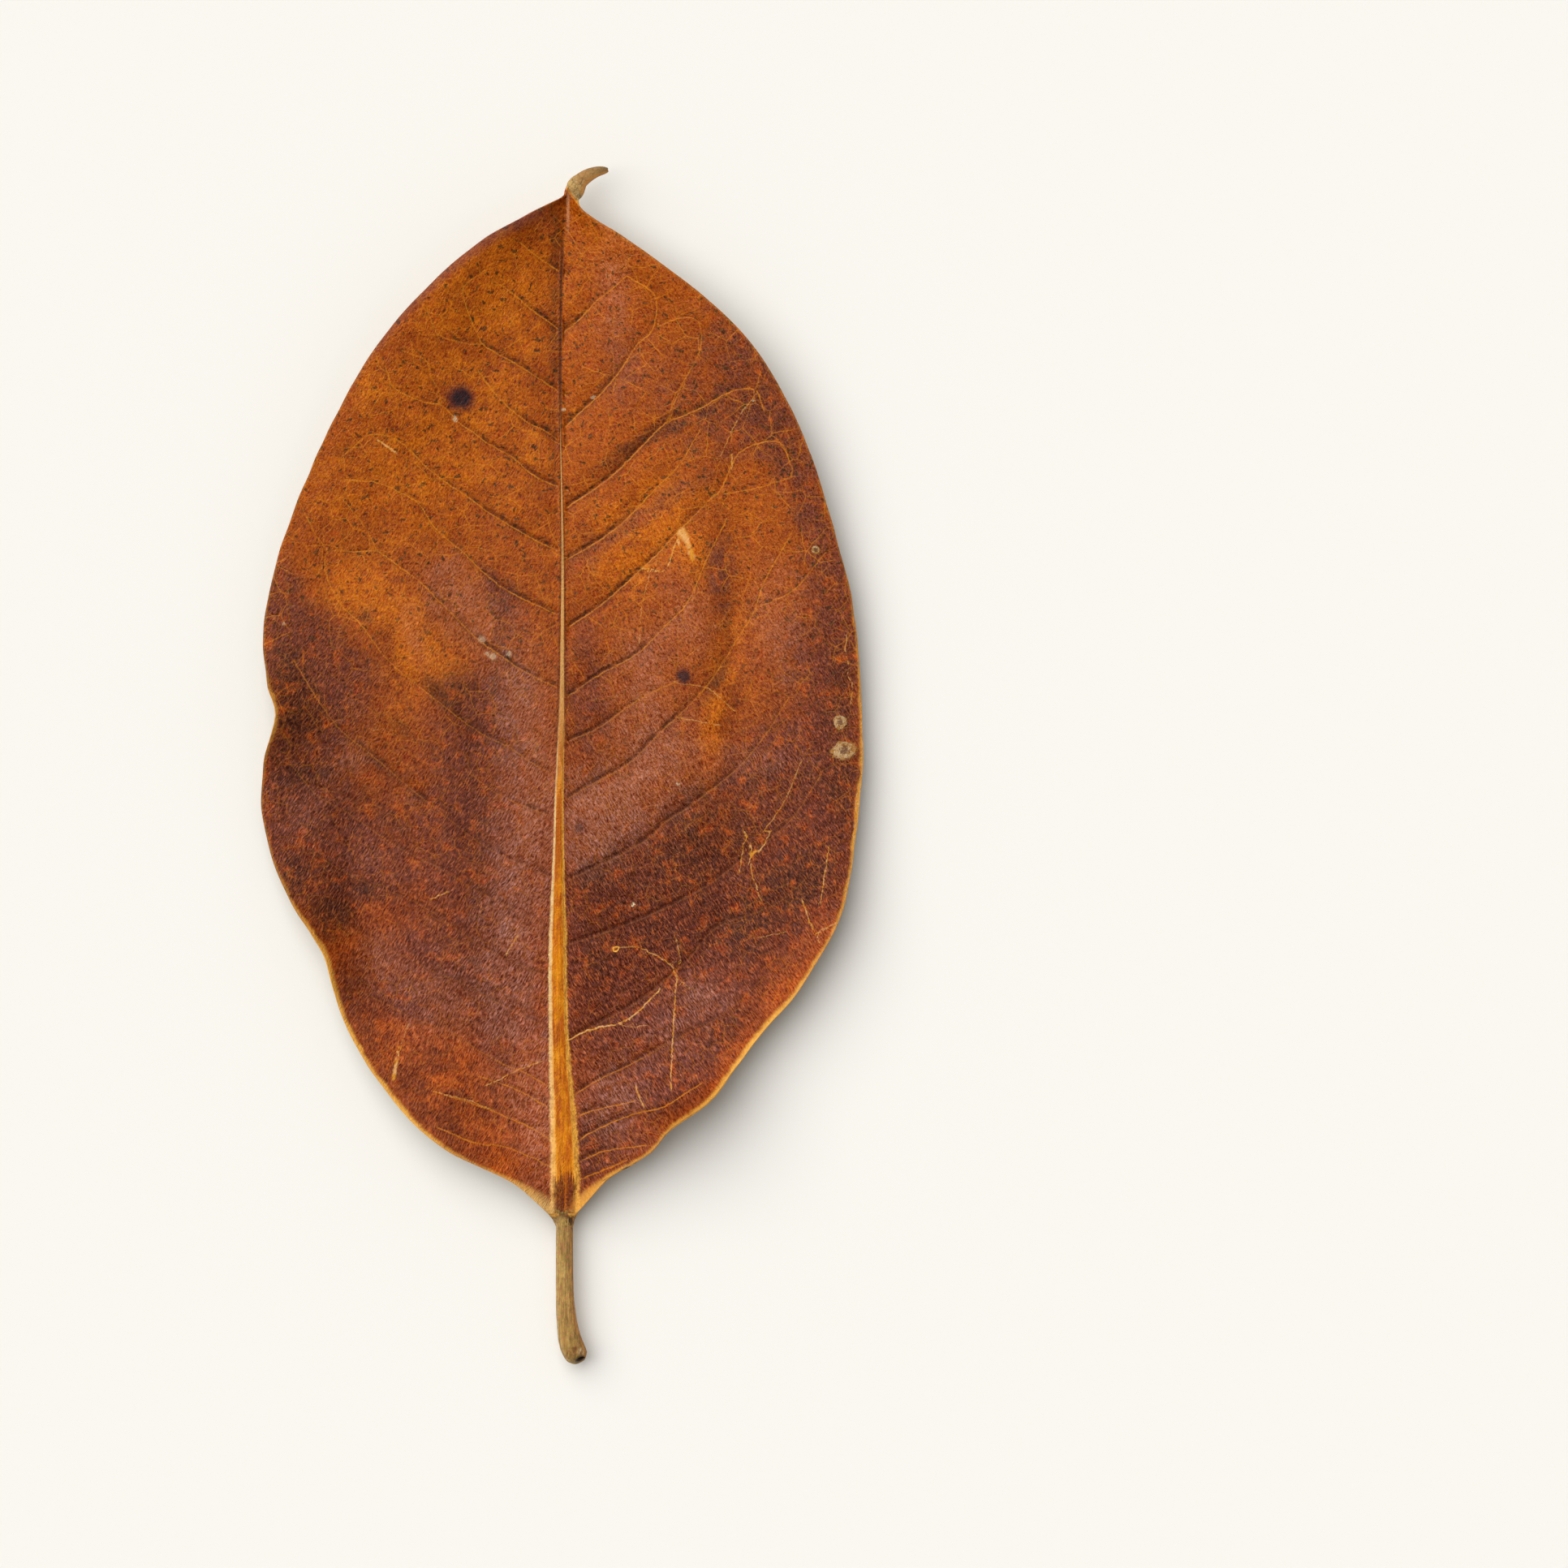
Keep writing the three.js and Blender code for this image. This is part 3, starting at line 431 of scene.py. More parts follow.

# Marks on the stalk: by the collar, where it meets the blade, and round the hollow in its foot, where the rim
# gets painted highlights.
COLLAR_SPECKS_ABOVE = (-83.6, -81.4)
COLLAR_SHADE_ABOVE = (-81.2, -79.6)
COLLAR_RED_ABOVE = (-80.4, -79.5)
COLLAR_CORNERS_ABOVE = (-79.9, -79.3)
COLLAR_SLIT = (1.5, -80.2, 0)
COLLAR_SLIT_STRETCH = (2.6, 0.8, 0)
COLLAR_SLIT_TOP = (3.0, 3.6)
FOOT_RIM_SPOT = (3.5, -103.5, 4.9)
FOOT_BRUISE = (2.2, -103.1, 5.2)

# Camera: straight above, with the photograph's frame.
FRAME_WIDTH = 277 * MM
LENS = 200
SENSOR = 36
CAMERA_OVER = (39.2 * MM, -3.2 * MM, 5 * MM)
CAMERA_REACH = 10

# Light: one wide soft source from the upper left with a narrower one for gloss, and an even surround.
WINDOW_STRENGTH = 3.08
WINDOW_ANGLE = math.radians(70)
WINDOW_ELEVATION = math.radians(54)
GLOSS_STRENGTH = 2.0
GLOSS_ANGLE = math.radians(20)
GLOSS_ELEVATION = math.radians(44)
SHADOW_DIRECTION = (0.72, -0.69)
SURROUND_STRENGTH = 0.34
FLOOR_COLOUR = (0.85, 0.827, 0.774, 1)
FLOOR_HALF_SIZE = 2.0


# Curves and fields

def curve_through(points):
    """A smooth curve through (position, value) points that never swings past them."""
    at, value = np.array(points, float).T
    steepness = np.diff(value) / np.diff(at)
    before = np.concatenate([steepness[:1], steepness])
    after = np.concatenate([steepness, steepness[-1:]])
    product = before * after
    total = np.where(product > 0, before + after, 1)
    slopes = np.where(product > 0, 2 * product / total, 0)

    def curve(position):
        p = np.clip(position, at[0], at[-1])
        i = np.clip(np.searchsorted(at, p, side="left") - 1, 0, len(at) - 2)
        span = at[i + 1] - at[i]
        t = (p - at[i]) / span
        eased = t * t * (3 - 2 * t)
        leaving = t * (1 - t) ** 2 * span * slopes[i]
        arriving = t * t * (t - 1) * span * slopes[i + 1]
        return value[i] + (value[i + 1] - value[i]) * eased + leaving + arriving

    return curve


def smoothstep(value, start, end):
    """From 0 at the start to 1 at the end, eased."""
    t = np.clip((value - start) / (end - start), 0, 1)
    return t * t * (3 - 2 * t)


def bell(value, spread):
    """1 at 0, fading out on both sides of it."""
    return np.exp(-((value / spread) ** 2))


def smooth_line(knots, steps=24):
    """Points close together on a rounded line through the knots."""
    knots = np.array(knots, float)
    if len(knots) < 3:
        return np.linspace(knots[0], knots[-1], steps + 1)
    padded = np.vstack([2 * knots[0] - knots[1], knots, 2 * knots[-1] - knots[-2]])
    gaps = np.sqrt(np.linalg.norm(np.diff(padded, axis=0), axis=1))
    t = np.linspace(0, 1, steps, endpoint=False)[:, None]
    pieces = []
    for k in range(1, len(padded) - 2):
        before, here, there, beyond = padded[k - 1:k + 3]
        gap_before, gap, gap_beyond = gaps[k - 1:k + 2]
        leaving = gap * ((here - before) / gap_before - (there - before) / (gap_before + gap)) + there - here
        arriving = gap * ((beyond - there) / gap_beyond - (beyond - here) / (gap + gap_beyond)) + there - here
        pieces.append(
            here * (1 + 2 * t) * (1 - t) ** 2
            + leaving * t * (1 - t) ** 2
            + there * t * t * (3 - 2 * t)
            + arriving * t * t * (t - 1)
        )
    return np.vstack(pieces + [knots[-1:]])


def shares_of(line):
    """How far along the line each of its points lies, from 0 to 1, and the line's length."""
    walked = np.concatenate([[0], np.cumsum(np.linalg.norm(np.diff(line, axis=0), axis=1))])
    return walked / walked[-1], walked[-1]


def point_on(line, share):
    shares, _ = shares_of(line)
    return np.array([np.interp(share, shares, line[:, k]) for k in range(line.shape[1])])


def direction_on(line, share, reach=0.01):
    ahead = point_on(line, min(share + reach, 1)) - point_on(line, max(share - reach, 0))
    return ahead / np.linalg.norm(ahead)


def line_field(x, y, lines, gap):
    """For each place: its way to the nearest line, measured squarely, its distance from it, which line
    that is, and how far along that line."""
    samples, headings, owners, places = [], [], [], []
    for owner, line in enumerate(lines):
        rounded = smooth_line(line)
        shares, length = shares_of(rounded)
        at = np.linspace(0, 1, max(int(length / gap), 2) + 1)
        placed = np.stack([np.interp(at, shares, rounded[:, k]) for k in (0, 1)], axis=1)
        heading = np.gradient(placed, axis=0)
        samples.append(placed)
        headings.append(heading / np.linalg.norm(heading, axis=1)[:, None])
        owners.append(np.full(len(at), owner))
        places.append(at)
    samples, headings = np.vstack(samples), np.vstack(headings)
    owners, places = np.concatenate(owners), np.concatenate(places)
    tree = KDTree(len(samples))
    for index, sample in enumerate(samples):
        tree.insert((*sample, 0), index)
    tree.balance()
    points = np.stack([x.ravel(), y.ravel()], axis=1)
    found = [tree.find((*point, 0)) for point in points]
    nearest = np.array([index for _, index, _ in found])
    distance = np.array([far for _, _, far in found])
    way = samples[nearest] - points
    heading = headings[nearest]
    way -= np.sum(way * heading, axis=1)[:, None] * heading
    fields = (way, distance, owners[nearest], places[nearest])
    return [field.reshape(x.shape + field.shape[1:]) for field in fields]


def zone_field(x, y, zones):
    """How strongly a set of soft ovals covers each place, from 0 to 1."""
    uncovered = np.ones_like(x)
    for at_x, at_y, half_width, half_height, tilt, strength in zones:
        turn = math.radians(tilt)
        across = ((x - at_x) * math.cos(turn) + (y - at_y) * math.sin(turn)) / half_width
        along = ((y - at_y) * math.cos(turn) - (x - at_x) * math.sin(turn)) / half_height
        uncovered *= 1 - strength * np.exp(-(across**2 + along**2) * ZONE_FALL)
    return 1 - uncovered


def noise_field(x, y, size, seed):
    """Even noise from -1 to 1 whose lumps are about as wide as the size."""
    flat = zip(x.ravel() / size, y.ravel() / size)
    return np.array([noise.noise((a, b, seed)) for a, b in flat]).reshape(x.shape)


# The leaf's skin

MARGIN, ROW_ENDS, BOWL, RIM = range(4)
left_half = [curve_through(points) for points in (LEFT_MARGIN, LEFT_ROW_ENDS, LEFT_BOWL, LEFT_RIM)]
right_half = [curve_through(points) for points in (RIGHT_MARGIN, RIGHT_ROW_ENDS, RIGHT_BOWL, RIGHT_RIM)]
midrib_line = curve_through(MIDRIB_LINE)
rib_half_width = curve_through(RIB_HALF_WIDTH)
rib_depth = curve_through(RIB_DEPTH)
band_half_width = curve_through(BAND_HALF_WIDTH)
spine = curve_through(SPINE)
keel_slope = curve_through(KEEL_SLOPE)
COLUMN_PLACES = np.arange(-COLUMNS_PER_SIDE, COLUMNS_PER_SIDE + 1) / COLUMNS_PER_SIDE


def by_side(offset, which, position):
    """One of the two halves' curves, chosen by the side of the midrib that a place is on."""
    return np.where(offset < 0, left_half[which](position), right_half[which](position))


def blade_height(x, y):
    """Height of the blade's middle layer, before the relief of its veins."""
    offset = x - midrib_line(y)
    distance = np.abs(offset)
    reach = np.abs(by_side(offset, MARGIN, y) - midrib_line(y))
    share = np.minimum(distance / reach, 1)
    keel = keel_slope(y) * KEEL_REACH * (1 - np.exp(-distance / KEEL_REACH))
    bowl = by_side(offset, BOWL, y) * smoothstep(share, BOWL_START, 1)
    rim = by_side(offset, RIM, y) * np.maximum((share - RIM_START) / (1 - RIM_START), 0) ** 2
    swell = sum(
        height * np.exp(-(((x - at_x) / half_x) ** 2 + ((y - at_y) / half_y) ** 2))
        for at_x, at_y, half_x, half_y, height in SWELLS
    )
    return spine(y) + keel + bowl + rim + swell


def normals_of(points):
    across = np.gradient(points, axis=1)
    along = np.gradient(points, axis=0)
    normals = np.cross(across, along)
    return normals / np.linalg.norm(normals, axis=2)[..., None]


def blade_places():
    """Where the blade's points lie, across and up the leaf, by row and column. Also each one's share of the
    way from the midrib to the margin, and its distance from the midrib, which is below 0 on the left."""
    v = np.linspace(0, 1, BLADE_ROWS)[:, None]
    wave = ROW_CROWDING * np.sin(2 * math.pi * v) / (2 * math.pi)
    row_y = BLADE_BASE_Y + (BLADE_TOP_Y - BLADE_BASE_Y) * (v - wave)
    column = np.broadcast_to(COLUMN_PLACES[None, :], (BLADE_ROWS, len(COLUMN_PLACES)))
    share = np.abs(column) ** COLUMN_CROWDING
    root = midrib_line(row_y)
    end_y = by_side(column, ROW_ENDS, row_y)
    edge_x = by_side(column, MARGIN, end_y)
    ripple = noise_field(edge_x, end_y, MARGIN_RIPPLE_SIZE, MARGIN_RIPPLE_SEED)
    ripple = ripple * MARGIN_RIPPLE * smoothstep(share, MARGIN_RIPPLE_FROM, 1)
    x = root + (edge_x - root) * share + ripple * np.sign(column)
    y = row_y + (end_y - row_y) * share**ROW_SWEEP
    return x, y, share, x - root


def blade_skin():
    """The blade's upper and lower points by row and column, and what its finish needs at each place."""
    x, y, share, offset = blade_places()
    way, away, owner, along = line_field(x, y, LEFT_VEINS + RIGHT_VEINS + VEIN_FORKS, VEIN_SAMPLE_GAP)
    fork = owner >= len(LEFT_VEINS) + len(RIGHT_VEINS)
    depth = np.where(fork, FORK_DEPTH, 1 - VEIN_FADE_BY * smoothstep(along, *VEIN_FADE))
    clear_of_rib = smoothstep(np.abs(offset), *(rib_half_width(y) * edge for edge in VEIN_CLEAR_OF_RIB))
    margins = [np.stack([x[:, k], y[:, k]], axis=1) for k in (0, -1)]
    to_margin = np.where(share >= 1, 0, line_field(x, y, margins, MARGIN_SAMPLE_GAP)[1])

    valley = VEIN_VALLEY * depth * bell(away, VEIN_VALLEY_SPREAD) * clear_of_rib
    inside = smoothstep(to_margin, *PUCKERS_FROM_MARGIN)
    pucker = PUCKER_HEIGHT * noise_field(x, y, PUCKER_SIZE, PUCKER_SEED) * inside * clear_of_rib
    height = np.maximum(blade_height(x, y) - valley + pucker, MIDDLE_ABOVE_UNDERSIDE)
    middle = np.stack([x, y, height], axis=2)

    thinned = 1 - EDGE_THINNING * (1 - smoothstep(to_margin, 0, EDGE_THINNING_REACH))
    groove = VEIN_GROOVE * depth * bell(away, VEIN_GROOVE_SPREAD) * clear_of_rib
    ridge = VEIN_RIDGE * depth * bell(away, VEIN_RIDGE_SPREAD) * clear_of_rib
    across_band = np.abs(offset) / band_half_width(y)
    band = BAND_HEIGHT * np.minimum(band_half_width(y) / BAND_FULL_WIDTH, 1)
    hump = band * np.sqrt(np.maximum(1 - across_band**2, 0))
    beside = bell(across_band - BAND_GROOVE_AT, BAND_GROOVE_SPREAD)
    beside = BAND_GROOVE * beside * np.minimum(band_half_width(y), 1)
    rib = rib_depth(y) * np.sqrt(np.maximum(1 - (offset / rib_half_width(y)) ** 2, 0))
    above = SKIN_ABOVE * thinned - groove + hump - beside + scale_mark_relief(x, y)
    below = SKIN_BELOW * thinned + ridge + rib
    normals = normals_of(middle)
    upper = middle + normals * above[..., None]
    lower = middle - normals * below[..., None]
    # The leaf lies flat where it would sink into the surface.
    lower[..., 2] = np.maximum(lower[..., 2], 0)

    # Light lines show on the veins of the upper half and by the base. The painted shade of their grooves
    # fades out along the way.
    upper_half = smoothstep(y, *LIGHT_VEINS_ABOVE)
    lit = np.maximum(upper_half, smoothstep(y, *LIGHT_VEINS_BELOW))
    light = np.where(fork, FORK_LIGHT, LEAST_VEIN_LIGHT + (1 - LEAST_VEIN_LIGHT) * lit) * clear_of_rib
    fading = 1 - DARK_VEIN_FADE_BY * smoothstep(along, *DARK_VEIN_FADE)
    dark = depth * clear_of_rib * np.where(upper_half > 0.5, fading, 1)
    finish = {
        "vein_way": np.dstack([way, away]),
        "vein_look": np.dstack([dark, light, depth]),
        **scratch_looks(x, y),
        **zone_looks(x, y),
        "lie": np.dstack([to_margin, offset / band_half_width(y), offset]),
    }
    return upper, lower, finish


def scratch_looks(x, y):
    """The way to the nearest scratch, and how strong and wide that one is."""
    widths, strengths, lines = zip(*SCRATCHES)
    way, away, owner, _ = line_field(x, y, lines, SCRATCH_SAMPLE_GAP)
    look = [np.array(strengths)[owner], np.array(widths)[owner], np.zeros_like(x)]
    return {"scratch_way": np.dstack([way, away]), "scratch_look": np.dstack(look)}


def zone_looks(x, y):
    """How strongly each kind of zone, of colour or of painted sheen, covers each place, three kinds to an
    attribute.
    """
    sets = {"zones": (AMBER_ZONES, PURPLE_ZONES, DARK_ZONES), "sheen": (PAINTED_SHEEN_ZONES, PALE_MARGIN_ZONES, [])}
    return {name: np.dstack([zone_field(x, y, zones) for zones in three]) for name, three in sets.items()}


def scale_mark_relief(x, y):
    """Low round mounds on the face."""
    relief = np.zeros_like(x)
    for at_x, at_y, half_width, half_height, strength in SCALE_MARKS:
        away = np.hypot((x - at_x) / half_width, (y - at_y) / half_height)
        relief += SCALE_MARK_HEIGHT * strength * smoothstep(away, *SCALE_MARK_SLOPE)
    return relief


def stalk_share(step):
    """How far along the stalk a row lies. The rows crowd together at both ends."""
    return step - STALK_ROW_CROWDING * math.sin(2 * math.pi * step) / (2 * math.pi)


def stalk_skin(first_upper, first_lower):
    """Oval rings from the foot to the blade, split into upper and lower halves. The first few run inwards
    and make the hollow in the foot's end."""
    line = smooth_line(STALK_LINE)
    half_width = curve_through(STALK_HALF_WIDTH)
    half_height = curve_through(STALK_HALF_HEIGHT)
    angle = COLUMN_PLACES * STALK_EDGE_ANGLE
    rings = [(size, depth, 0.0) for size, depth in FOOT_HOLLOW]
    rings += [(1.0, 0.0, stalk_share(i / STALK_ROWS)) for i in range(STALK_ROWS)]
    uppers, lowers = [], []
    for size, depth, along in rings:
        centre = point_on(line, along)
        ahead = direction_on(line, along)
        across = np.cross(ahead, (0, 0, 1))
        across /= np.linalg.norm(across)
        up = np.cross(across, ahead)
        flare = smoothstep(along, STALK_FLARE_START, 1)
        slant = FOOT_SLANT * (1 - smoothstep(along, 0, FOOT_SLANT_REACH))
        for sign, halves, edge in ((1, uppers, first_upper), (-1, lowers, first_lower)):
            round_stalk = angle * sign * STALK_RIDGES_ROUND + STALK_RIDGES_START
            along_stalk = np.full_like(angle, along * STALK_RIDGES_ALONG)
            ridges = noise_field(round_stalk, along_stalk, 1, STALK_RIDGE_SEED + sign)
            swell = 1 + STALK_RIDGE * ridges * (1 - flare)
            in_hollow = 0 if size == 1 else 1
            sideways = size * half_width(along) * np.sin(angle) * swell + FOOT_HOLLOW_ASIDE * in_hollow
            rise = sign * size * half_height(along) * np.cos(angle) * swell + FOOT_HOLLOW_UP * in_hollow
            ring = (centre + sideways[:, None] * across + rise[:, None] * up
                    + (depth + slant * rise)[:, None] * ahead)
            halves.append(ring + (edge - ring) * flare)
    return np.array(uppers), np.array(lowers)


def tip_skin(last_upper, last_lower):
    """The blade's last row turns into a tongue whose right edge rolls up and over, underside out."""
    line = smooth_line(TIP_LINE)
    half_width = curve_through(TIP_HALF_WIDTH)
    roll_start = curve_through(TIP_ROLL_START)
    roll_end = curve_through(TIP_ROLL_END)
    root = point_on(line, 0)
    uppers, lowers = [], []
    for i in range(TIP_ROWS):
        along = ((i + 1) / TIP_ROWS) ** TIP_ROW_CROWDING
        centre = point_on(line, along)
        ahead = direction_on(line, along) * (1, 1, 0)
        ahead /= np.linalg.norm(ahead)
        across = np.array((ahead[1], -ahead[0], 0))
        start, end = math.radians(roll_start(along)), math.radians(roll_end(along))
        rightmost, leftmost = math.sin(min(end, math.pi / 2)), math.sin(start)
        outer = 2 * half_width(along) / (rightmost - leftmost)
        inner = max(outer - TIP_THICKNESS, TIP_HOLLOW)
        roll_centre = outer * (rightmost + leftmost) / 2
        turned = np.array([across, ahead, (0, 0, 1)])
        rolled = smoothstep(along, 0, TIP_ROLL_REACH)
        angle = start + (end - start) * (COLUMN_PLACES + 1) / 2
        for radius, halves, edge in ((inner, uppers, last_upper), (outer, lowers, last_lower)):
            sideways = radius * np.sin(angle) - roll_centre
            rise = -radius * np.cos(angle) * TIP_FLATNESS
            on_roll = centre + sideways[:, None] * across + rise[:, None] * np.array((0, 0, 1))
            carried = (edge - root) @ turned + centre
            halves.append(carried + (on_roll - carried) * rolled)
    return np.array(uppers), np.array(lowers)


def repeat_rows(values, before, after):
    """The blade's values, with those of its first and last row repeated along the stalk and the tip."""
    return np.concatenate([np.repeat(values[:1], before, 0), values, np.repeat(values[-1:], after, 0)])


def paper_fold(columns, rows, gap):
    """Two sheets of faces, one above the other, joined along their edges into one closed skin."""
    bm = bmesh.new()
    bmesh.ops.create_grid(bm, x_segments=columns, y_segments=rows, size=1)
    upper_edges = [edge for edge in bm.edges if edge.is_boundary]
    copied = bmesh.ops.duplicate(bm, geom=bm.verts[:] + bm.edges[:] + bm.faces[:])["geom"]
    lower = [item for item in copied if isinstance(item, bmesh.types.BMVert)]
    lower_faces = [item for item in copied if isinstance(item, bmesh.types.BMFace)]
    lower_edges = [item for item in copied if isinstance(item, bmesh.types.BMEdge) and item.is_boundary]
    bmesh.ops.translate(bm, verts=lower, vec=(0, 0, -gap))
    bmesh.ops.reverse_faces(bm, faces=lower_faces)
    bmesh.ops.bridge_loops(bm, edges=upper_edges + lower_edges)
    bmesh.ops.recalc_face_normals(bm, faces=bm.faces[:])
    return bm


def read_each(items, name, width, kind):
    """One property of all items of a mesh, as a row for each."""
    values = np.zeros(len(items) * width, kind)
    items.foreach_get(name, values)
    return values.reshape(-1, width)


def set_attribute(mesh, name, values):
    layer = mesh.attributes.new(name, "FLOAT_VECTOR", "POINT")
    layer.data.foreach_set("vector", np.ascontiguousarray(values, np.float32).ravel())


FACE, UNDERSIDE, STALK = range(3)


def dried_leaf(materials):
    """The leaf's one piece: a closed skin with its points placed, and what its finishes need at each."""
    blade_upper, blade_lower, finish = blade_skin()
    stalk_upper, stalk_lower = stalk_skin(blade_upper[0], blade_lower[0])
    tip_upper, tip_lower = tip_skin(blade_upper[-1], blade_lower[-1])
    upper = np.concatenate([stalk_upper, blade_upper, tip_upper])
    lower = np.concatenate([stalk_lower, blade_lower, tip_lower])
    rows, columns = upper.shape[0] - 1, upper.shape[1] - 1
    stalk_rows = len(stalk_upper)

    gap = SHEET_GAP / rows
    bm = paper_fold(columns, rows, gap)
    mesh = bpy.data.meshes.new("dried_leaf")
    bm.to_mesh(mesh)
    bm.free()
    places = read_each(mesh.vertices, "co", 3, np.float32)
    column = np.rint((places[:, 0] + 1) / 2 * columns).astype(int)
    row = np.rint((places[:, 1] + 1) / 2 * rows).astype(int)
    is_upper = places[:, 2] > -gap / 2
    skin = np.where(is_upper[:, None], upper[row, column], lower[row, column])
    mesh.vertices.foreach_set("co", (skin * MM).astype(np.float32).ravel())
    for name, values in finish.items():
        set_attribute(mesh, name, repeat_rows(values, stalk_rows, len(tip_upper))[row, column])
    along_stalk = np.clip((row - HOLLOW_ROWS) / STALK_ROWS, 0, 1)
    in_hollow = np.where(row < HOLLOW_ROWS, 1.0, 0.0)
    set_attribute(mesh, "stalk_lie", np.stack([along_stalk, column / columns * 2 - 1, in_hollow], axis=1))
    along_tip = np.clip((row - stalk_rows - BLADE_ROWS + 1) / TIP_ROWS, 0, 1)
    roll_turn = TIP_ROLL_START[-1][1] + (TIP_ROLL_END[-1][1] - TIP_ROLL_START[-1][1]) * column / columns
    roll_edge = bell(roll_turn - TIP_EDGE_TURN, TIP_EDGE_SPREAD) * (along_tip > 0)
    set_attribute(mesh, "tip_lie", np.stack([along_tip, column / columns * 2 - 1, roll_edge], axis=1))

    # The stalk, the felted underside and the face each have their finish. Edges stay sharp at the margin.
    corners = read_each(mesh.loops, "vertex_index", 1, np.int32).reshape(-1, 4)
    all_lower = ~is_upper[corners].any(axis=1)
    on_stalk = row[corners].max(axis=1) <= stalk_rows
    slots = np.where(on_stalk, STALK, np.where(all_lower, UNDERSIDE, FACE))
    mesh.polygons.foreach_set("material_index", slots.astype(np.int32))
    mesh.polygons.foreach_set("use_smooth", np.ones(len(mesh.polygons), bool))
    ends = read_each(mesh.edges, "vertices", 2, np.int32)
    same_face = is_upper[ends[:, 0]] == is_upper[ends[:, 1]]
    at_side = (np.isin(column[ends], (0, columns)).all(axis=1)) & (row[ends].min(axis=1) >= stalk_rows)
    at_end = np.isin(row[ends], (0, rows)).all(axis=1)
    sharp = mesh.attributes.new("sharp_edge", "BOOLEAN", "EDGE")
    sharp.data.foreach_set("value", same_face & (at_side | at_end))
    for material in materials:
        mesh.materials.append(material)
    mesh.update()
    leaf = bpy.data.objects.new("dried_leaf", mesh)
    bpy.context.scene.collection.objects.link(leaf)
    return leaf


# Shader building

def paint(red, green, blue):
    """A colour given as 0 to 255 on a screen, as the light that it stands for."""
    def light(part):
        part /= 255
        return part / 12.92 if part <= 0.04045 else ((part + 0.055) / 1.055) ** 2.4
    return (light(red), light(green), light(blue), 1)


def sum_of(operation, swapped=False):
    """How a value takes part in one kind of sum, with another value or with a number."""
    def joined(self, other=0):
        first, second = (other, self) if swapped else (self, other)
        return self.graph.node("ShaderNodeMath", {"operation": operation}, {0: first, 1: second})
    return joined


class Value:
    """A shader socket that takes part in sums."""

    def __init__(self, graph, socket):
        self.graph = graph
        self.socket = socket

    __add__ = sum_of("ADD")
    __radd__ = sum_of("ADD", swapped=True)
    __sub__ = sum_of("SUBTRACT")
    __rsub__ = sum_of("SUBTRACT", swapped=True)
    __mul__ = sum_of("MULTIPLY")
    __rmul__ = sum_of("MULTIPLY", swapped=True)
    __truediv__ = sum_of("DIVIDE")
    __abs__ = sum_of("ABSOLUTE")

    def rise(self, start, end):
        """From 0 at the start to 1 at the end, eased."""
        inputs = {"Value": self, "From Min": start, "From Max": end}
        return self.graph.node("ShaderNodeMapRange", {"interpolation_type": "SMOOTHSTEP"}, inputs)

    def fall(self, start, end):
        return 1 - self.rise(start, end)


